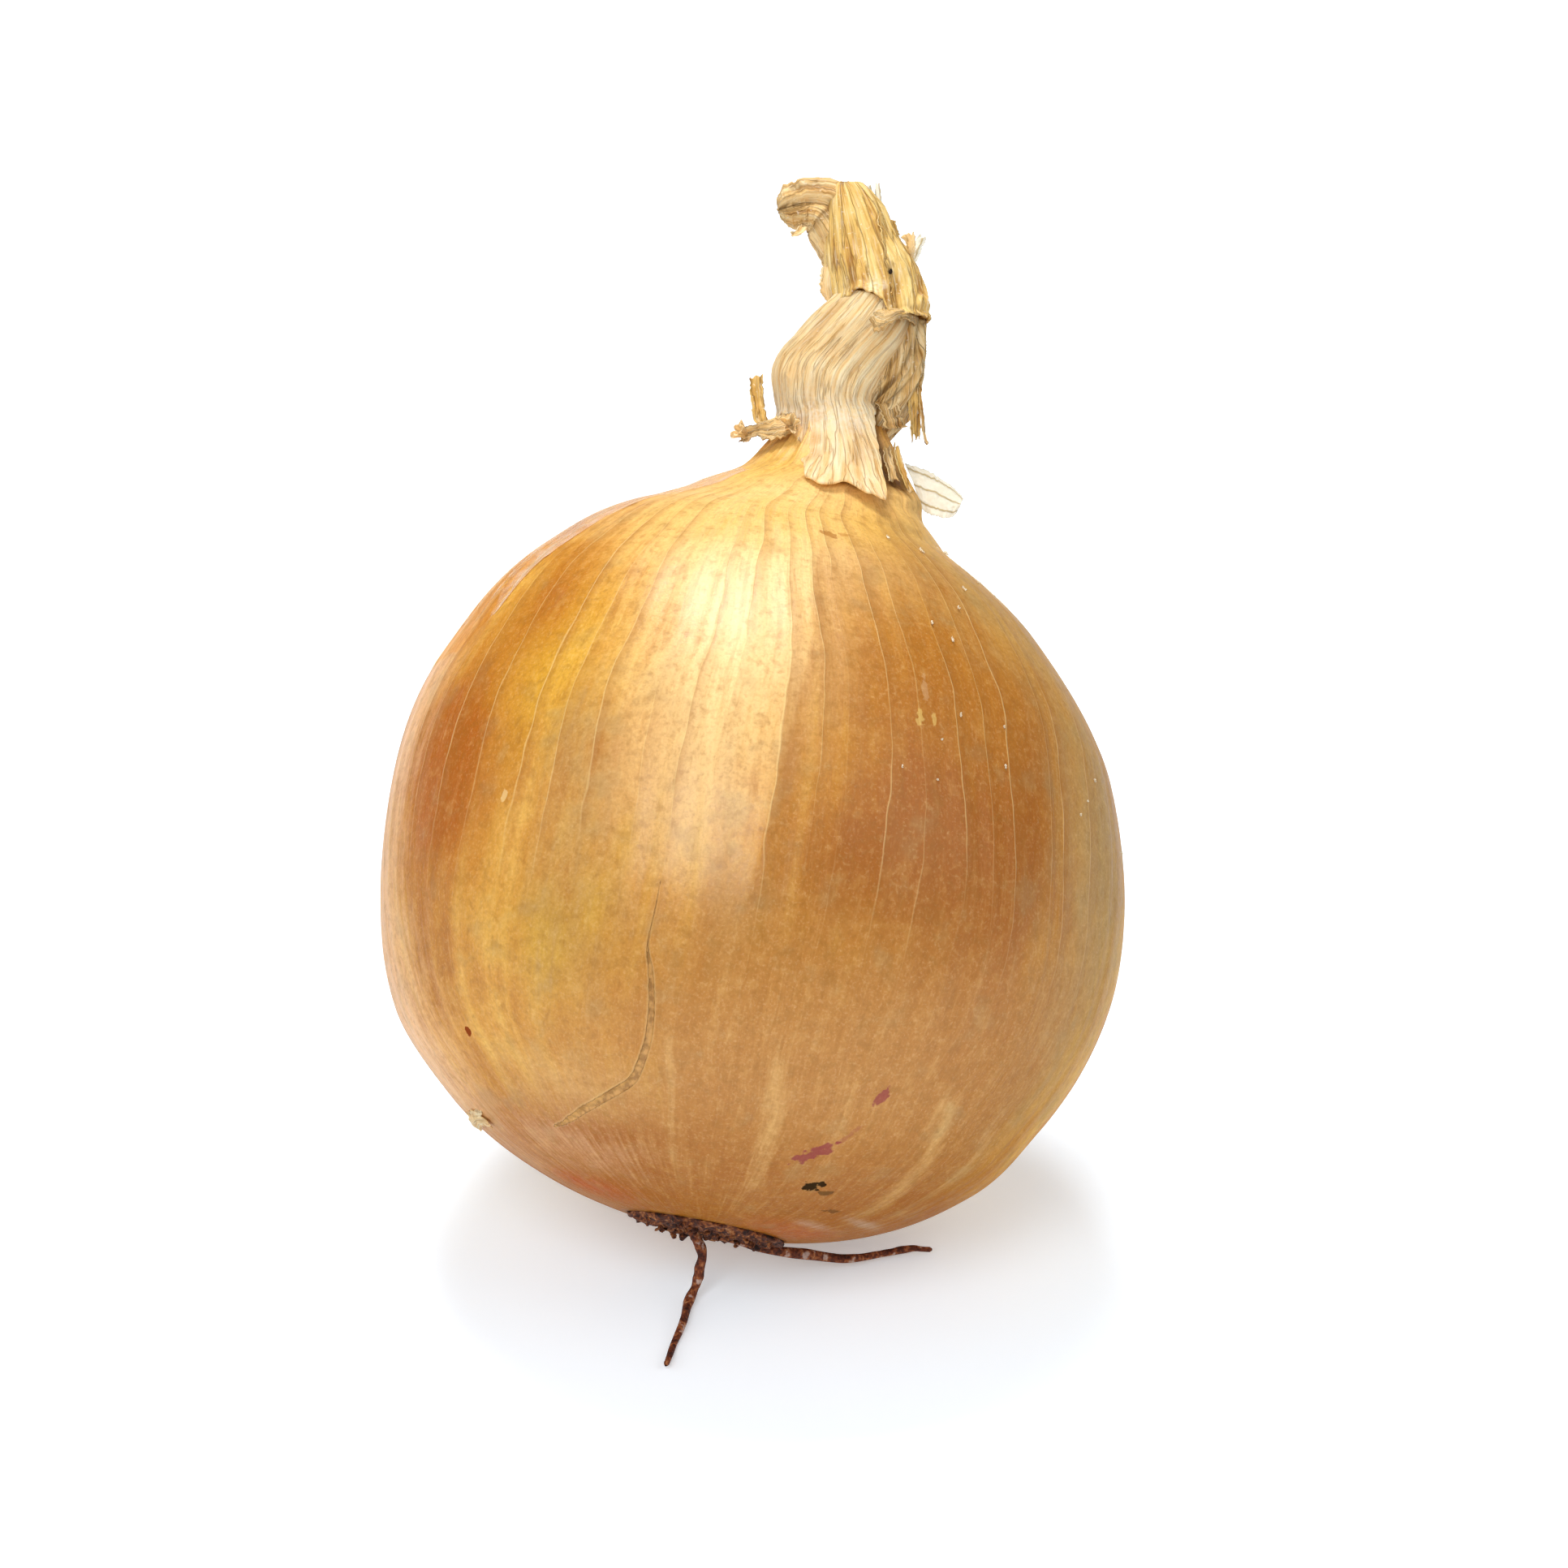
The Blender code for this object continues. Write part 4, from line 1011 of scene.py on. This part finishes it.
# Painted shadow where the hook tucks behind the column, and painted shade along its crease
def hook_painted_shade(angle, t):
    crease = np.exp(-((around(angle, HOOK_CREASE) / 9) ** 2)) * smooth_step((t - 2) / 1.2)
    return 0.9 * np.exp(-(((t - 2.85) / 0.3) ** 2)) + 0.2 * crease


def build_neck(pale_straw, gold_straw, brown_gold, brown_straw):
    middle = {"hem": middle_hem, "shape": middle_shape, "worn": middle_worn}
    column = {"hem": column_hem, "shape": column_shape, "worn": column_worn}
    hook = {"shape": hook_shape, "dark": hook_painted_shade}
    name = "neck_middle_sheath"
    patch = build_sheath(
        name, pale_straw, MIDDLE_SHEATH, 10, middle_depth, 42, columns=320, follow=0.4, **middle
    )
    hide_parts("neck")
    back_hem = torn(53, 0.6, 36)
    build_sheath("neck_back_fold", brown_straw, BACK_FOLD, 13, 0.75, 43, hem=back_hem, rows=90, twist=0.5)
    build_sheath("neck_column", gold_straw, COLUMN, 15, column_depth, 44, columns=320, **column)
    build_sheath("neck_hook", brown_gold, HOOK, 12, 0.34, 45, **hook)


# Shreds and films: pairs of points, x, y, z, one on each edge

SHREDS = {
    "shred_spike": [
        ((-10.1, -1.4, 52.5), (-8.9, -1.6, 53.4)),
        ((-9.8, -1.7, 50.9), (-8.5, -1.8, 51.3)),
        ((-9.3, -1.9, 49.2), (-7.9, -2.0, 49.4)),
        ((-8.7, -2.4, 47.6), (-7.2, -2.4, 48.0)),
        ((-7.2, -3.0, 46.9), (-6.0, -2.8, 48.2)),
        ((-4.6, -3.4, 47.4), (-3.8, -2.6, 49.2)),
    ],
    "shred_curl": [
        ((-4.4, -5.3, 49.2), (-4.0, -6.5, 46.7)),
        ((-5.7, -4.9, 48.5), (-5.4, -6.4, 45.7)),
        ((-7.0, -4.2, 48.0), (-7.0, -5.5, 45.2)),
        ((-8.3, -3.2, 47.3), (-8.2, -4.0, 45.9)),
        ((-9.3, -2.0, 47.2), (-9.2, -2.8, 45.2)),
        ((-10.2, -1.4, 46.6), (-10.0, -1.9, 45.4)),
    ],
    "shred_hanging": [
        ((4.9, 0.2, 57.3), (7.0, 0.4, 57.7)),
        ((6.1, -0.4, 54.9), (7.7, -0.2, 55.4)),
        ((7.0, -0.6, 52.0), (8.2, -0.5, 52.5)),
        ((7.9, -0.7, 48.8), (8.7, -0.6, 49.2)),
    ],
    "shred_thread": [
        ((7.2, -0.4, 55.2), (7.5, -0.3, 55.3)),
        ((8.1, -0.5, 52.4), (8.5, -0.5, 52.4)),
        ((9.0, -0.6, 49.6), (9.3, -0.5, 49.7)),
        ((9.6, -0.6, 48.9), (9.7, -0.5, 49.1)),
    ],
    "shred_corner": [
        ((3.2, -2.2, 52.4), (5.4, -1.6, 53.0)),
        ((4.4, -2.6, 50.6), (6.3, -1.8, 51.2)),
        ((4.9, -2.6, 49.2), (7.2, -1.8, 49.9)),
    ],
    "shred_fork": [
        ((2.6, 0.6, 65.2), (4.4, 0.8, 65.4)),
        ((3.5, 0.4, 67.5), (4.6, 0.6, 67.5)),
        ((4.1, 0.4, 69.8), (5.1, 0.6, 69.8)),
        ((4.5, 0.4, 71.4), (5.4, 0.5, 71.2)),
    ],
    "shred_fray": [
        ((3.9, 0.3, 68.0), (4.5, 0.4, 67.8)),
        ((3.3, 0.2, 69.9), (4.4, 0.3, 70.0)),
        ((2.5, 0.2, 70.9), (3.9, 0.3, 71.5)),
    ],
    "shred_column_side": [
        ((-0.3, -2.1, 72.5), (1.7, 0.2, 72.4)),
        ((0.3, -2.6, 70.6), (2.6, 0.2, 70.6)),
        ((1.2, -3.2, 68.2), (3.8, 0.2, 68.2)),
        ((2.2, -3.6, 65.6), (5.0, 0.2, 65.8)),
        ((3.0, -3.9, 63.2), (6.0, 0.2, 63.4)),
    ],
    "shred_top": [
        ((-1.4, 0.6, 71.8), (-0.2, 0.7, 71.6)),
        ((-1.5, 0.5, 73.4), (-0.6, 0.6, 73.4)),
        ((-2.1, 0.5, 75.7), (-1.5, 0.6, 75.9)),
    ],
    "shred_top_right": [
        ((-0.4, 0.6, 71.8), (1.0, 0.7, 71.6)),
        ((-0.6, 0.5, 73.4), (0.2, 0.6, 73.4)),
        ((-1.1, 0.5, 75.9), (-0.6, 0.6, 76.1)),
    ],
    "shred_left": [
        ((-4.0, -1.2, 61.9), (-2.6, -1.4, 61.7)),
        ((-4.9, -1.0, 64.0), (-3.2, -1.4, 64.1)),
        ((-4.8, -0.8, 66.0), (-3.6, -1.2, 66.1)),
    ],
    "shred_hook_bit": [
        ((-7.9, 0.0, 70.0), (-7.2, -0.2, 69.8)),
        ((-8.5, -0.2, 69.0), (-7.6, -0.4, 68.9)),
        ((-9.0, -0.2, 68.9), (-8.6, -0.3, 68.3)),
    ],
    "shred_low_left": [
        tuple(tuple(on_bulb(math.radians(turn), height, lift)) for height, lift in ((-29.4, 0.0), (low, out)))
        for turn, low, out in ((-176, -30.4, 0.5), (-171, -31.0, 0.8), (-165, -30.7, 0.5), (-158, -31.0, 0.5))
    ],
    "shred_flap": [
        ((1.7, -4.4, 61.4), (1.0, -5.2, 60.0)),
        ((2.6, -4.4, 61.7), (2.4, -6.2, 58.7)),
        ((3.8, -4.2, 61.9), (3.8, -5.8, 60.2)),
        ((4.9, -3.2, 62.2), (5.1, -4.6, 61.0)),
        ((5.5, -1.9, 62.4), (5.9, -2.9, 60.9)),
        ((5.5, -0.4, 62.4), (5.9, -0.8, 61.2)),
    ],
    "shred_slit_grey": [
        ((4.9, -4.0, 47.4), (5.6, -3.4, 47.7)),
        ((5.6, -4.8, 45.3), (6.6, -4.0, 45.6)),
        ((6.4, -5.9, 43.2), (7.6, -5.0, 43.5)),
    ],
    "shred_slit_lip": [
        ((6.0, -2.4, 48.2), (6.4, -1.9, 48.3)),
        ((7.0, -2.9, 45.6), (7.6, -2.4, 45.7)),
        ((8.5, -3.6, 43.0), (9.2, -3.0, 43.1)),
    ],
    "neck_speck": [
        ((2.3, -3.8, 65.5), (2.5, -3.8, 65.5)),
        ((2.2, -3.8, 65.8), (2.6, -3.8, 65.8)),
        ((2.3, -3.8, 66.1), (2.5, -3.8, 66.1)),
    ],
}
CLEAR_SCRAP = [
    ((7.5, 0.9, 46.9), (10.2, 0.3, 42.3)),
    ((8.9, 1.0, 46.7), (10.9, 0.2, 41.9)),
    ((10.6, 1.2, 46.4), (11.8, 0, 41.7)),
    ((12.2, 1.4, 45.8), (12.7, 0.1, 41.7)),
    ((13.5, 1.5, 45.1), (13.4, 0.5, 42.0)),
    ((14.4, 1.3, 44.3), (13.9, 0.8, 42.6)),
]


def build_ribbon(name, finish, edges, seed, rows=44, columns=16, curl=0.25, tear=0.3, frill=0.0, nibbled=1.0,
                 thickness=0.1):
    """A torn strip between two edges: curled, wavy, ragged at both ends and frilled along one edge."""
    share = np.linspace(0, 1, columns)
    reach = len(edges) - 1
    start = tear * (0.5 + 0.5 * noise(share * 5 + seed, 0 * share, seed))
    end = tear * (0.5 + 0.5 * noise(share * 5 + seed, 0 * share + 3, seed))
    t = start + np.linspace(0, 1, rows)[:, None] * (reach - start - end)
    left = along_spline([a for a, _ in edges], t)
    right = along_spline([b for _, b in edges], t)
    nibble = 0.10 * noise(t * 9, 0 * t + 0.5, seed + 4) + 0.06 * noise(t * 21, 0 * t + 0.5, seed + 5)
    across = share + nibbled * nibble * (2 * share - 1)
    grid = left + (right - left) * across[..., None]
    bend = curl * (1 - (2 * share - 1) ** 2) + 0.15 * noise(share * 4, t * 2.5, seed + 1)
    bend = bend + frill * share**1.5 * np.sin(t * 9 + 1.5 * noise(t * 3, 0 * t, seed + 3))
    grid = grid + grid_normals(grid, False) * bend[..., None]
    width = float(np.linalg.norm(np.subtract(*edges[1])))
    shade_and_mottle = np.clip(0.2 + 0.6 * noise(share * 6, t * 0.4, seed + 2), 0, 1)
    return add_surface(name, grid, finish, share * width, thickness=thickness, fields={"shade_and_mottle": shade_and_mottle})


def build_frilled_cup(name, finish, foot, toward, reach, girth, seed):
    """A tiny cup of torn skin that opens away from its foot, with a frilled rim."""
    rows, columns = 16, 72
    share = np.linspace(0, 1, rows)[:, None]
    angle = np.linspace(0, 2 * math.pi, columns + 1)[None, :-1]
    turns = angle / (2 * math.pi)
    toward = unit(np.array(toward, float))
    side = unit(np.cross(toward, [0.0, 0.0, 1.0]))
    up = np.cross(side, toward)
    frill = 1 + 0.28 * share * np.sin(5 * angle) + 0.3 * share * noise(turns * 9, 0 * angle, seed, 9)
    radius = girth * (0.18 + 0.82 * share**0.8) * frill
    along = reach * share * (1 + 0.25 * share * noise(turns * 11, 0 * angle, seed + 1, 11))
    grid = np.array(foot) + toward * along[..., None]
    grid = grid + side * (radius * np.cos(angle))[..., None] + up * (radius * np.sin(angle))[..., None]
    # Painted shade, darkest deep in the cup at its foot
    shade_and_mottle = 1 - np.clip(share * 1.4 + 0 * angle, 0, 1)
    girths = np.linspace(0, 2 * math.pi * girth, columns + 1)
    cup = add_surface(name, grid, finish, girths, closed=True, thickness=-0.1, fields={"shade_and_mottle": shade_and_mottle})
    return cup


# The low edges of the films of outermost skin that lie on the bulb's shoulders, as turn and height
LEFT_FILM_EDGE = [
    (-212, 20), (-190, 17), (-170, 15), (-156, 16), (-150, 20), (-147, 27), (-144, 33), (-139, 36.5),
    (-133, 38.6),
]
RIGHT_FILM_EDGE = [(-24, 35.6), (-18, 33.6), (-10, 32.4), (0, 31.6), (10, 31.5), (22, 34.0)]


def build_film(name, finish, low_edge, top_height, lift, seed, columns=140, rows=40, ragged=1.0, fading=0.0):
    """A film that lies loose on the bulb between a ragged low edge and an even height."""
    first, last = low_edge[0][0], low_edge[-1][0]
    turn = np.radians(np.linspace(first, last, columns))
    degrees = np.degrees(turn)
    tear = 0.5 * noise(degrees / 2.2, 0 * turn, seed) + 0.25 * noise(degrees, 0 * turn, seed)
    low = through(low_edge, degrees) + ragged * tear
    high = top_height + 0.4 * noise(degrees / 3, 0 * turn, seed + 1)
    share = np.linspace(0, 1, rows)[:, None]
    height = low + (np.maximum(high, low + 0.5) - low) * share
    turn = turn + 0 * height
    veins_round = np.degrees(turn) / 360 * VEINS
    stand = lift * (0.6 + 0.4 * noise(veins_round * 0.6, height / 4, seed + 2))
    stand = stand + 0.25 * ragged * np.exp(-share * 12) + 0.05
    grid = on_bulb(turn, height, bulb_relief(veins_round % VEINS, turn, height) + stand)
    across = np.linspace(0, 1, columns) * math.radians(last - first) * 22
    thin = {"thin": fading * np.exp(-share * 4) * smooth_step((-degrees - 148) / 10)}
    return add_surface(name, grid, finish, across, thickness=0.06, fields=thin)


def build_flecks(finish):
    """Flecks where the film has broken off along the veins, high on the right."""
    draw = random.Random(31)
    for k in range(18):
        turn, height = draw.uniform(-68, -12), draw.uniform(6, 38)
        wide, tall = draw.uniform(0.05, 0.16), draw.uniform(0.08, 0.26)
        here = np.radians(turn + draw.uniform(-1, 1))
        half_turn = wide / radius_at(height)
        edges = []
        for part in (-1, -0.3, 0.4, 1):
            level = height + tall * part
            pinch = 1 - 0.6 * part * part
            sides = (here - half_turn * pinch, here + half_turn * pinch)
            edges.append(tuple(tuple(on_bulb(side, level, 0.16)) for side in sides))
        name = f"fleck_{k:02d}"
        fleck = build_ribbon(name, finish, edges, 200 + k, rows=9, columns=6, curl=0.08, thickness=0.05)


# The root plate and its roots

# The two long roots' routes, in mm in the row's frame, where they lie on the surface
FRONT_ROOT = [
    (-7.9, -20.6, 7.4),
    (-7.0, -21.4, 5.0),
    (-7.0, -21.5, 3.2),
    (-7.6, -22.4, 1.7),
    (-8.3, -24.4, 0.9),
    (-8.9, -28.0, 0.68),
    (-9.6, -33.0, 0.62),
    (-10.4, -36.9, 0.62),
]
SIDE_ROOT = [
    (-5.0, -20.0, 6.4),
    (-1.6, -19.8, 5.0),
    (2.3, -18.8, 3.6),
    (7.0, -16.8, 1.9),
    (11.3, -14.5, 1.1),
    (14.4, -13.2, 0.8),
    (17.2, -12.8, 0.62),
]
ROOT_RADIUS, ROOT_TIP_SHARE = 0.55, 0.55
STUBS = 34


def build_root(name, finish, path, radius, seed, rows=120, columns=22, kink=0.22):
    """A dried root along a path in the onion's own frame: it shrivels, kinks and thins to its tip."""
    t = np.linspace(0, len(path) - 1, rows)[:, None]
    angle = np.linspace(0, 2 * math.pi, columns + 1)[None, :-1] + 0 * t
    stations = [(*point, 1, 1, 0) for point in path]
    share = t / (len(path) - 1)
    thin = radius * (1 - (1 - ROOT_TIP_SHARE) * share**2) * (1 + 0.13 * noise(share * 11, 0 * share, seed))
    wrinkle = 0.16 * noise(angle * 6 / (2 * math.pi), share * 18, seed + 1, 6)
    size = thin * (1 + wrinkle) * np.clip((1.01 - share) * 40, 0.15, 1)
    grid = swept(stations, t + 0 * angle, angle, size - 1)
    strays = [kink * noise(share * 7, 0 * share + k, seed + 2) * smooth_step(share * 6) for k in range(3)]
    girths = np.linspace(0, 3.5, columns + 1)
    root = add_surface(name, grid + np.stack(strays, -1), finish, girths, closed=True)
    return root


def plate_middle():
    """The middle of the plate's seat, in the onion's own frame."""
    seat_height = OUTLINE_HEIGHT[0]
    return np.array([through(DRIFT, seat_height), 0, seat_height + PLATE_SEAT_DEPTH - 0.3])


def build_root_plate(finish):
    """The corky plate: a rough low dome, from the share of its radius and the drop at 15 stations."""
    share = np.array([0.90, 0.95, 0.98, 1.0, 0.99, 0.97, 0.93, 0.86, 0.76, 0.64, 0.5, 0.36, 0.22, 0.08, 0.0])
    drop = np.array([0, 0.25, 0.5, 0.75, 1.0, 1.2, 1.4, 1.5, 1.5, 1.45, 1.35, 1.3, 1.25, 1.25, 1.25])
    stations = np.linspace(0, 14, 60)
    share, drop = (np.interp(stations, np.arange(15), values)[:, None] for values in (share, drop))
    angle = np.linspace(0, 2 * math.pi, 141)[None, :-1]
    turns = angle / (2 * math.pi)
    rough = 0.28 * noise(turns * 40, share * 12, 61, 40) + 0.22 * noise(turns * 80, share * 26, 62, 80)
    reach = OUTLINE_RADIUS[0] * 0.985 * share * (1 + 0.03 * noise(turns * 9, 0 * turns, 63, 9))
    reach = reach + 0.5 * rough * (share > 0.3)
    down = 0.62 * drop + rough * smooth_step((drop - 0.3) / 0.6) + 0 * turns
    grid = plate_middle() + np.stack([reach * np.cos(angle), reach * np.sin(angle), -down], -1)
    plate = add_surface("root_plate_cork", grid[::-1], finish, np.linspace(0, 40, 141), closed=True)
    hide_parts("root_plate")


def build_root_stubs(finish):
    """Short stubs all over the plate, where the fibrous roots have broken off."""
    draw = random.Random(9)
    for k in range(STUBS):
        turn, out = draw.uniform(0, 2 * math.pi), OUTLINE_RADIUS[0] * math.sqrt(draw.uniform(0.02, 0.8))
        foot = plate_middle() + (out * math.cos(turn), out * math.sin(turn), -1.0)
        lean_x = 0.7 * math.cos(turn + draw.uniform(-1, 1))
        lean_y = 0.7 * math.sin(turn + draw.uniform(-1, 1))
        lean = np.array([lean_x, lean_y, -1])
        bend = np.array([draw.uniform(-0.4, 0.4), draw.uniform(-0.4, 0.4), 0])
        reach = draw.uniform(0.3, 0.7)
        path = [foot, foot + lean * reach * 0.5, foot + lean * reach + bend * reach]
        radius = draw.uniform(0.2, 0.4)
        build_root(f"root_stub_{k:02d}", finish, path, radius, 70 + k, rows=10, columns=9, kink=0.0)


def build_long_roots(finish):
    row_to_grown = GROWN_TO_ROW.inverted()
    for name, route, seed in (("root_front", FRONT_ROOT, 64), ("root_side", SIDE_ROOT, 67)):
        path = [tuple(row_to_grown @ (Vector(point) * MM)) for point in route]
        build_root(name, finish, path, ROOT_RADIUS, seed)


# Camera, light and floor


def build_camera():
    side_mm = CAMERA_DISTANCE / MM * SENSOR_MM / LENS_MM
    px = side_mm * MM / PHOTO_SIDE_PX
    back = Vector((0, -math.cos(CAMERA_ELEVATION), math.sin(CAMERA_ELEVATION)))
    right, up = Vector((1, 0, 0)), Vector((0, math.sin(CAMERA_ELEVATION), math.cos(CAMERA_ELEVATION)))
    centre = Vector(BULB_MIDDLE) * MM
    centre += right * (PHOTO_SIDE_PX / 2 - BULB_MIDDLE_PX[0]) * px
    centre += up * (BULB_MIDDLE_PX[1] - PHOTO_SIDE_PX / 2) * px
    data = bpy.data.cameras.new("camera")
    data.lens, data.sensor_width = LENS_MM, SENSOR_MM
    data.clip_start, data.clip_end = 0.05, 20
    camera = bpy.data.objects.new("camera", data)
    camera.location = centre + back * CAMERA_DISTANCE
    camera.rotation_euler = (math.pi / 2 - CAMERA_ELEVATION, 0, 0)
    bpy.context.scene.collection.objects.link(camera)
    bpy.context.scene.camera = camera


def add_light(name, direction, distance, side, power):
    """A square soft light that faces the onion from a direction."""
    data = bpy.data.lights.new(name, "AREA")
    data.shape, data.size, data.energy = "SQUARE", side, power
    light = bpy.data.objects.new(name, data)
    toward = Vector(direction).normalized()
    light.location = Vector(BULB_MIDDLE) * MM + toward * distance
    light.rotation_euler = toward.to_track_quat("Z", "Y").to_euler()
    bpy.context.scene.collection.objects.link(light)


def build_floor():
    """The sweep of white paper that the onion stands on."""
    mesh = bpy.data.meshes.new("floor")
    corners = [(x * FLOOR_REACH, y * FLOOR_REACH, 0) for x, y in ((-1, -1), (1, -1), (1, 1), (-1, 1))]
    mesh.from_pydata(corners, [], [(0, 1, 2, 3)])
    paper = bpy.data.materials.new("white_paper_sweep")
    paper.use_nodes = True
    shader = paper.node_tree.nodes["Principled BSDF"]
    shader.inputs["Base Color"].default_value = (0.75, 0.84, 0.93, 1)
    shader.inputs["Roughness"].default_value = 0.9
    shader.inputs["Emission Color"].default_value = (1, 1, 1, 1)
    shader.inputs["Emission Strength"].default_value = FLOOR_GLOW
    mesh.materials.append(paper)
    floor = bpy.data.objects.new("floor", mesh)
    bpy.context.scene.collection.objects.link(floor)


def build_studio():
    """A white tent with four soft lights: over the onion, in front at the left, and at either side."""
    world = bpy.data.worlds.new("white_tent")
    bpy.context.scene.world = world
    world.use_nodes = True
    background = world.node_tree.nodes["Background"]
    background.inputs["Color"].default_value = (1, 1, 1, 1)
    background.inputs["Strength"].default_value = TENT_GLOW
    add_light("overhead_box", (-0.08, 0.34, 0.94), 0.55, 0.22, 2.7)
    add_light("front_left_box", (-0.20, -0.74, 0.62), 0.75, 0.34, 2.9)
    add_light("left_wall", (-0.85, -0.25, 0.55), 0.9, 0.60, 1.1)
    add_light("right_wall", (0.75, -0.40, 0.60), 0.9, 0.60, 1.7)
    build_floor()
    bpy.context.scene.view_settings.view_transform = "Standard"


# The neck's straws: their colours from the palest to the grooves', how much light they let through, and how
# strong the grooves and the shade painted into their folds are
STRAWS = [
    ("pale", ("#FFF0C8", "#FFE4AA", "#F6D08C", "#D09A4C"), 0.42, 0.50),
    ("golden", ("#F4D488", "#E6BB64", "#C88F3C", "#8E5A1E"), 0.22, 0.80),
    ("brown_gold", ("#FADEA4", "#EEC680", "#CC9850", "#86581E"), 0.3, 0.65),
    ("brown", ("#F8DEA8", "#E6BC76", "#BC8840", "#6E4618"), 0.3, 0.85),
]


def build_shreds(finishes, other_finish):
    """The torn strips round the neck, each in its own finish or in the other one."""
    for k, (name, edges) in enumerate(SHREDS.items()):
        frill = {"shred_curl": 0.12, "shred_corner": 0.4, "shred_flap": 0.12}.get(name, 0.0)
        shred = build_ribbon(name, finishes.get(name, other_finish), edges, 80 + 3 * k, frill=frill)
    build_frilled_cup("shred_left_cup", other_finish, (-9.2, -2.6, 46.0), (-0.8, -0.5, 0.3), 1.2, 0.9, 131)
    build_frilled_cup("shred_ring", other_finish, (-4.7, -5.6, 47.1), (-0.1, -1.0, 0.15), 1.2, 0.9, 137)


def main():
    build_camera()
    build_studio()
    skin = dry_scale_leaf()
    straws = {}
    for name, colours, translucent, grooved in STRAWS:
        straws[name] = dried_leaf_sheath(f"{name}_leaf_sheath", *colours, translucent, grooved)
    film = clear_skin_film("clear_skin_film", 0.40, "#EDE4CE", "#BFA878")
    blush_film = clear_skin_film("blush_skin_film", 0.74, "#F8E0C8", "#F0D2AC", 0.35)
    thin_film = clear_skin_film("thin_skin_film", 0.45, "#F6E8CC", "#D9BC88")
    faint_film = clear_skin_film("faint_skin_film", 0.90, "#EED2A0", "#D9BC88", 0.45)
    root = dried_root("dried_root", "#B8A298", 0.75, ("#3A170A", "#6C3218", "#9A5A30", "#BE9066"))
    cork = dried_root("corky_plate", "#7A4420", 0.4, ("#240E06", "#502410", "#8C4E22", "#B98A5C"))
    speck = dried_root("dark_speck", "#3A2812", 0.2, ("#120A04", "#1E1208", "#2E1C0C", "#4A3018"))
    build_bulb(skin)
    build_neck(straws["pale"], straws["golden"], straws["brown_gold"], straws["brown"])
    shred_finishes = {
        **dict.fromkeys(("shred_spike", "shred_hanging"), straws["golden"]),
        **dict.fromkeys(("shred_slit_lip", "shred_column_side"), straws["golden"]),
        **dict.fromkeys(("shred_flap", "shred_curl"), straws["brown_gold"]),
        **dict.fromkeys(("shred_thread", "shred_corner", "shred_slit_grey"), straws["brown"]),
        **dict.fromkeys(("shred_fork", "shred_top", "shred_top_right"), film),
        "neck_speck": speck,
    }
    build_shreds(shred_finishes, straws["pale"])
    scrap = build_ribbon("clear_scrap", film, CLEAR_SCRAP, 99, columns=30, curl=0.3, tear=0.15, nibbled=0.25)
    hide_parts("skin_flake")
    build_film("left_shoulder_film", blush_film, LEFT_FILM_EDGE, 41.6, 0.03, 151, ragged=0.3, fading=1.0)
    build_film(
        "right_shoulder_film", faint_film, RIGHT_FILM_EDGE, 37.4, 0.06, 155, columns=90, rows=24, ragged=0.5
    )
    build_flecks(thin_film)
    build_root_plate(cork)
    build_root_stubs(cork)
    build_long_roots(root)


main()
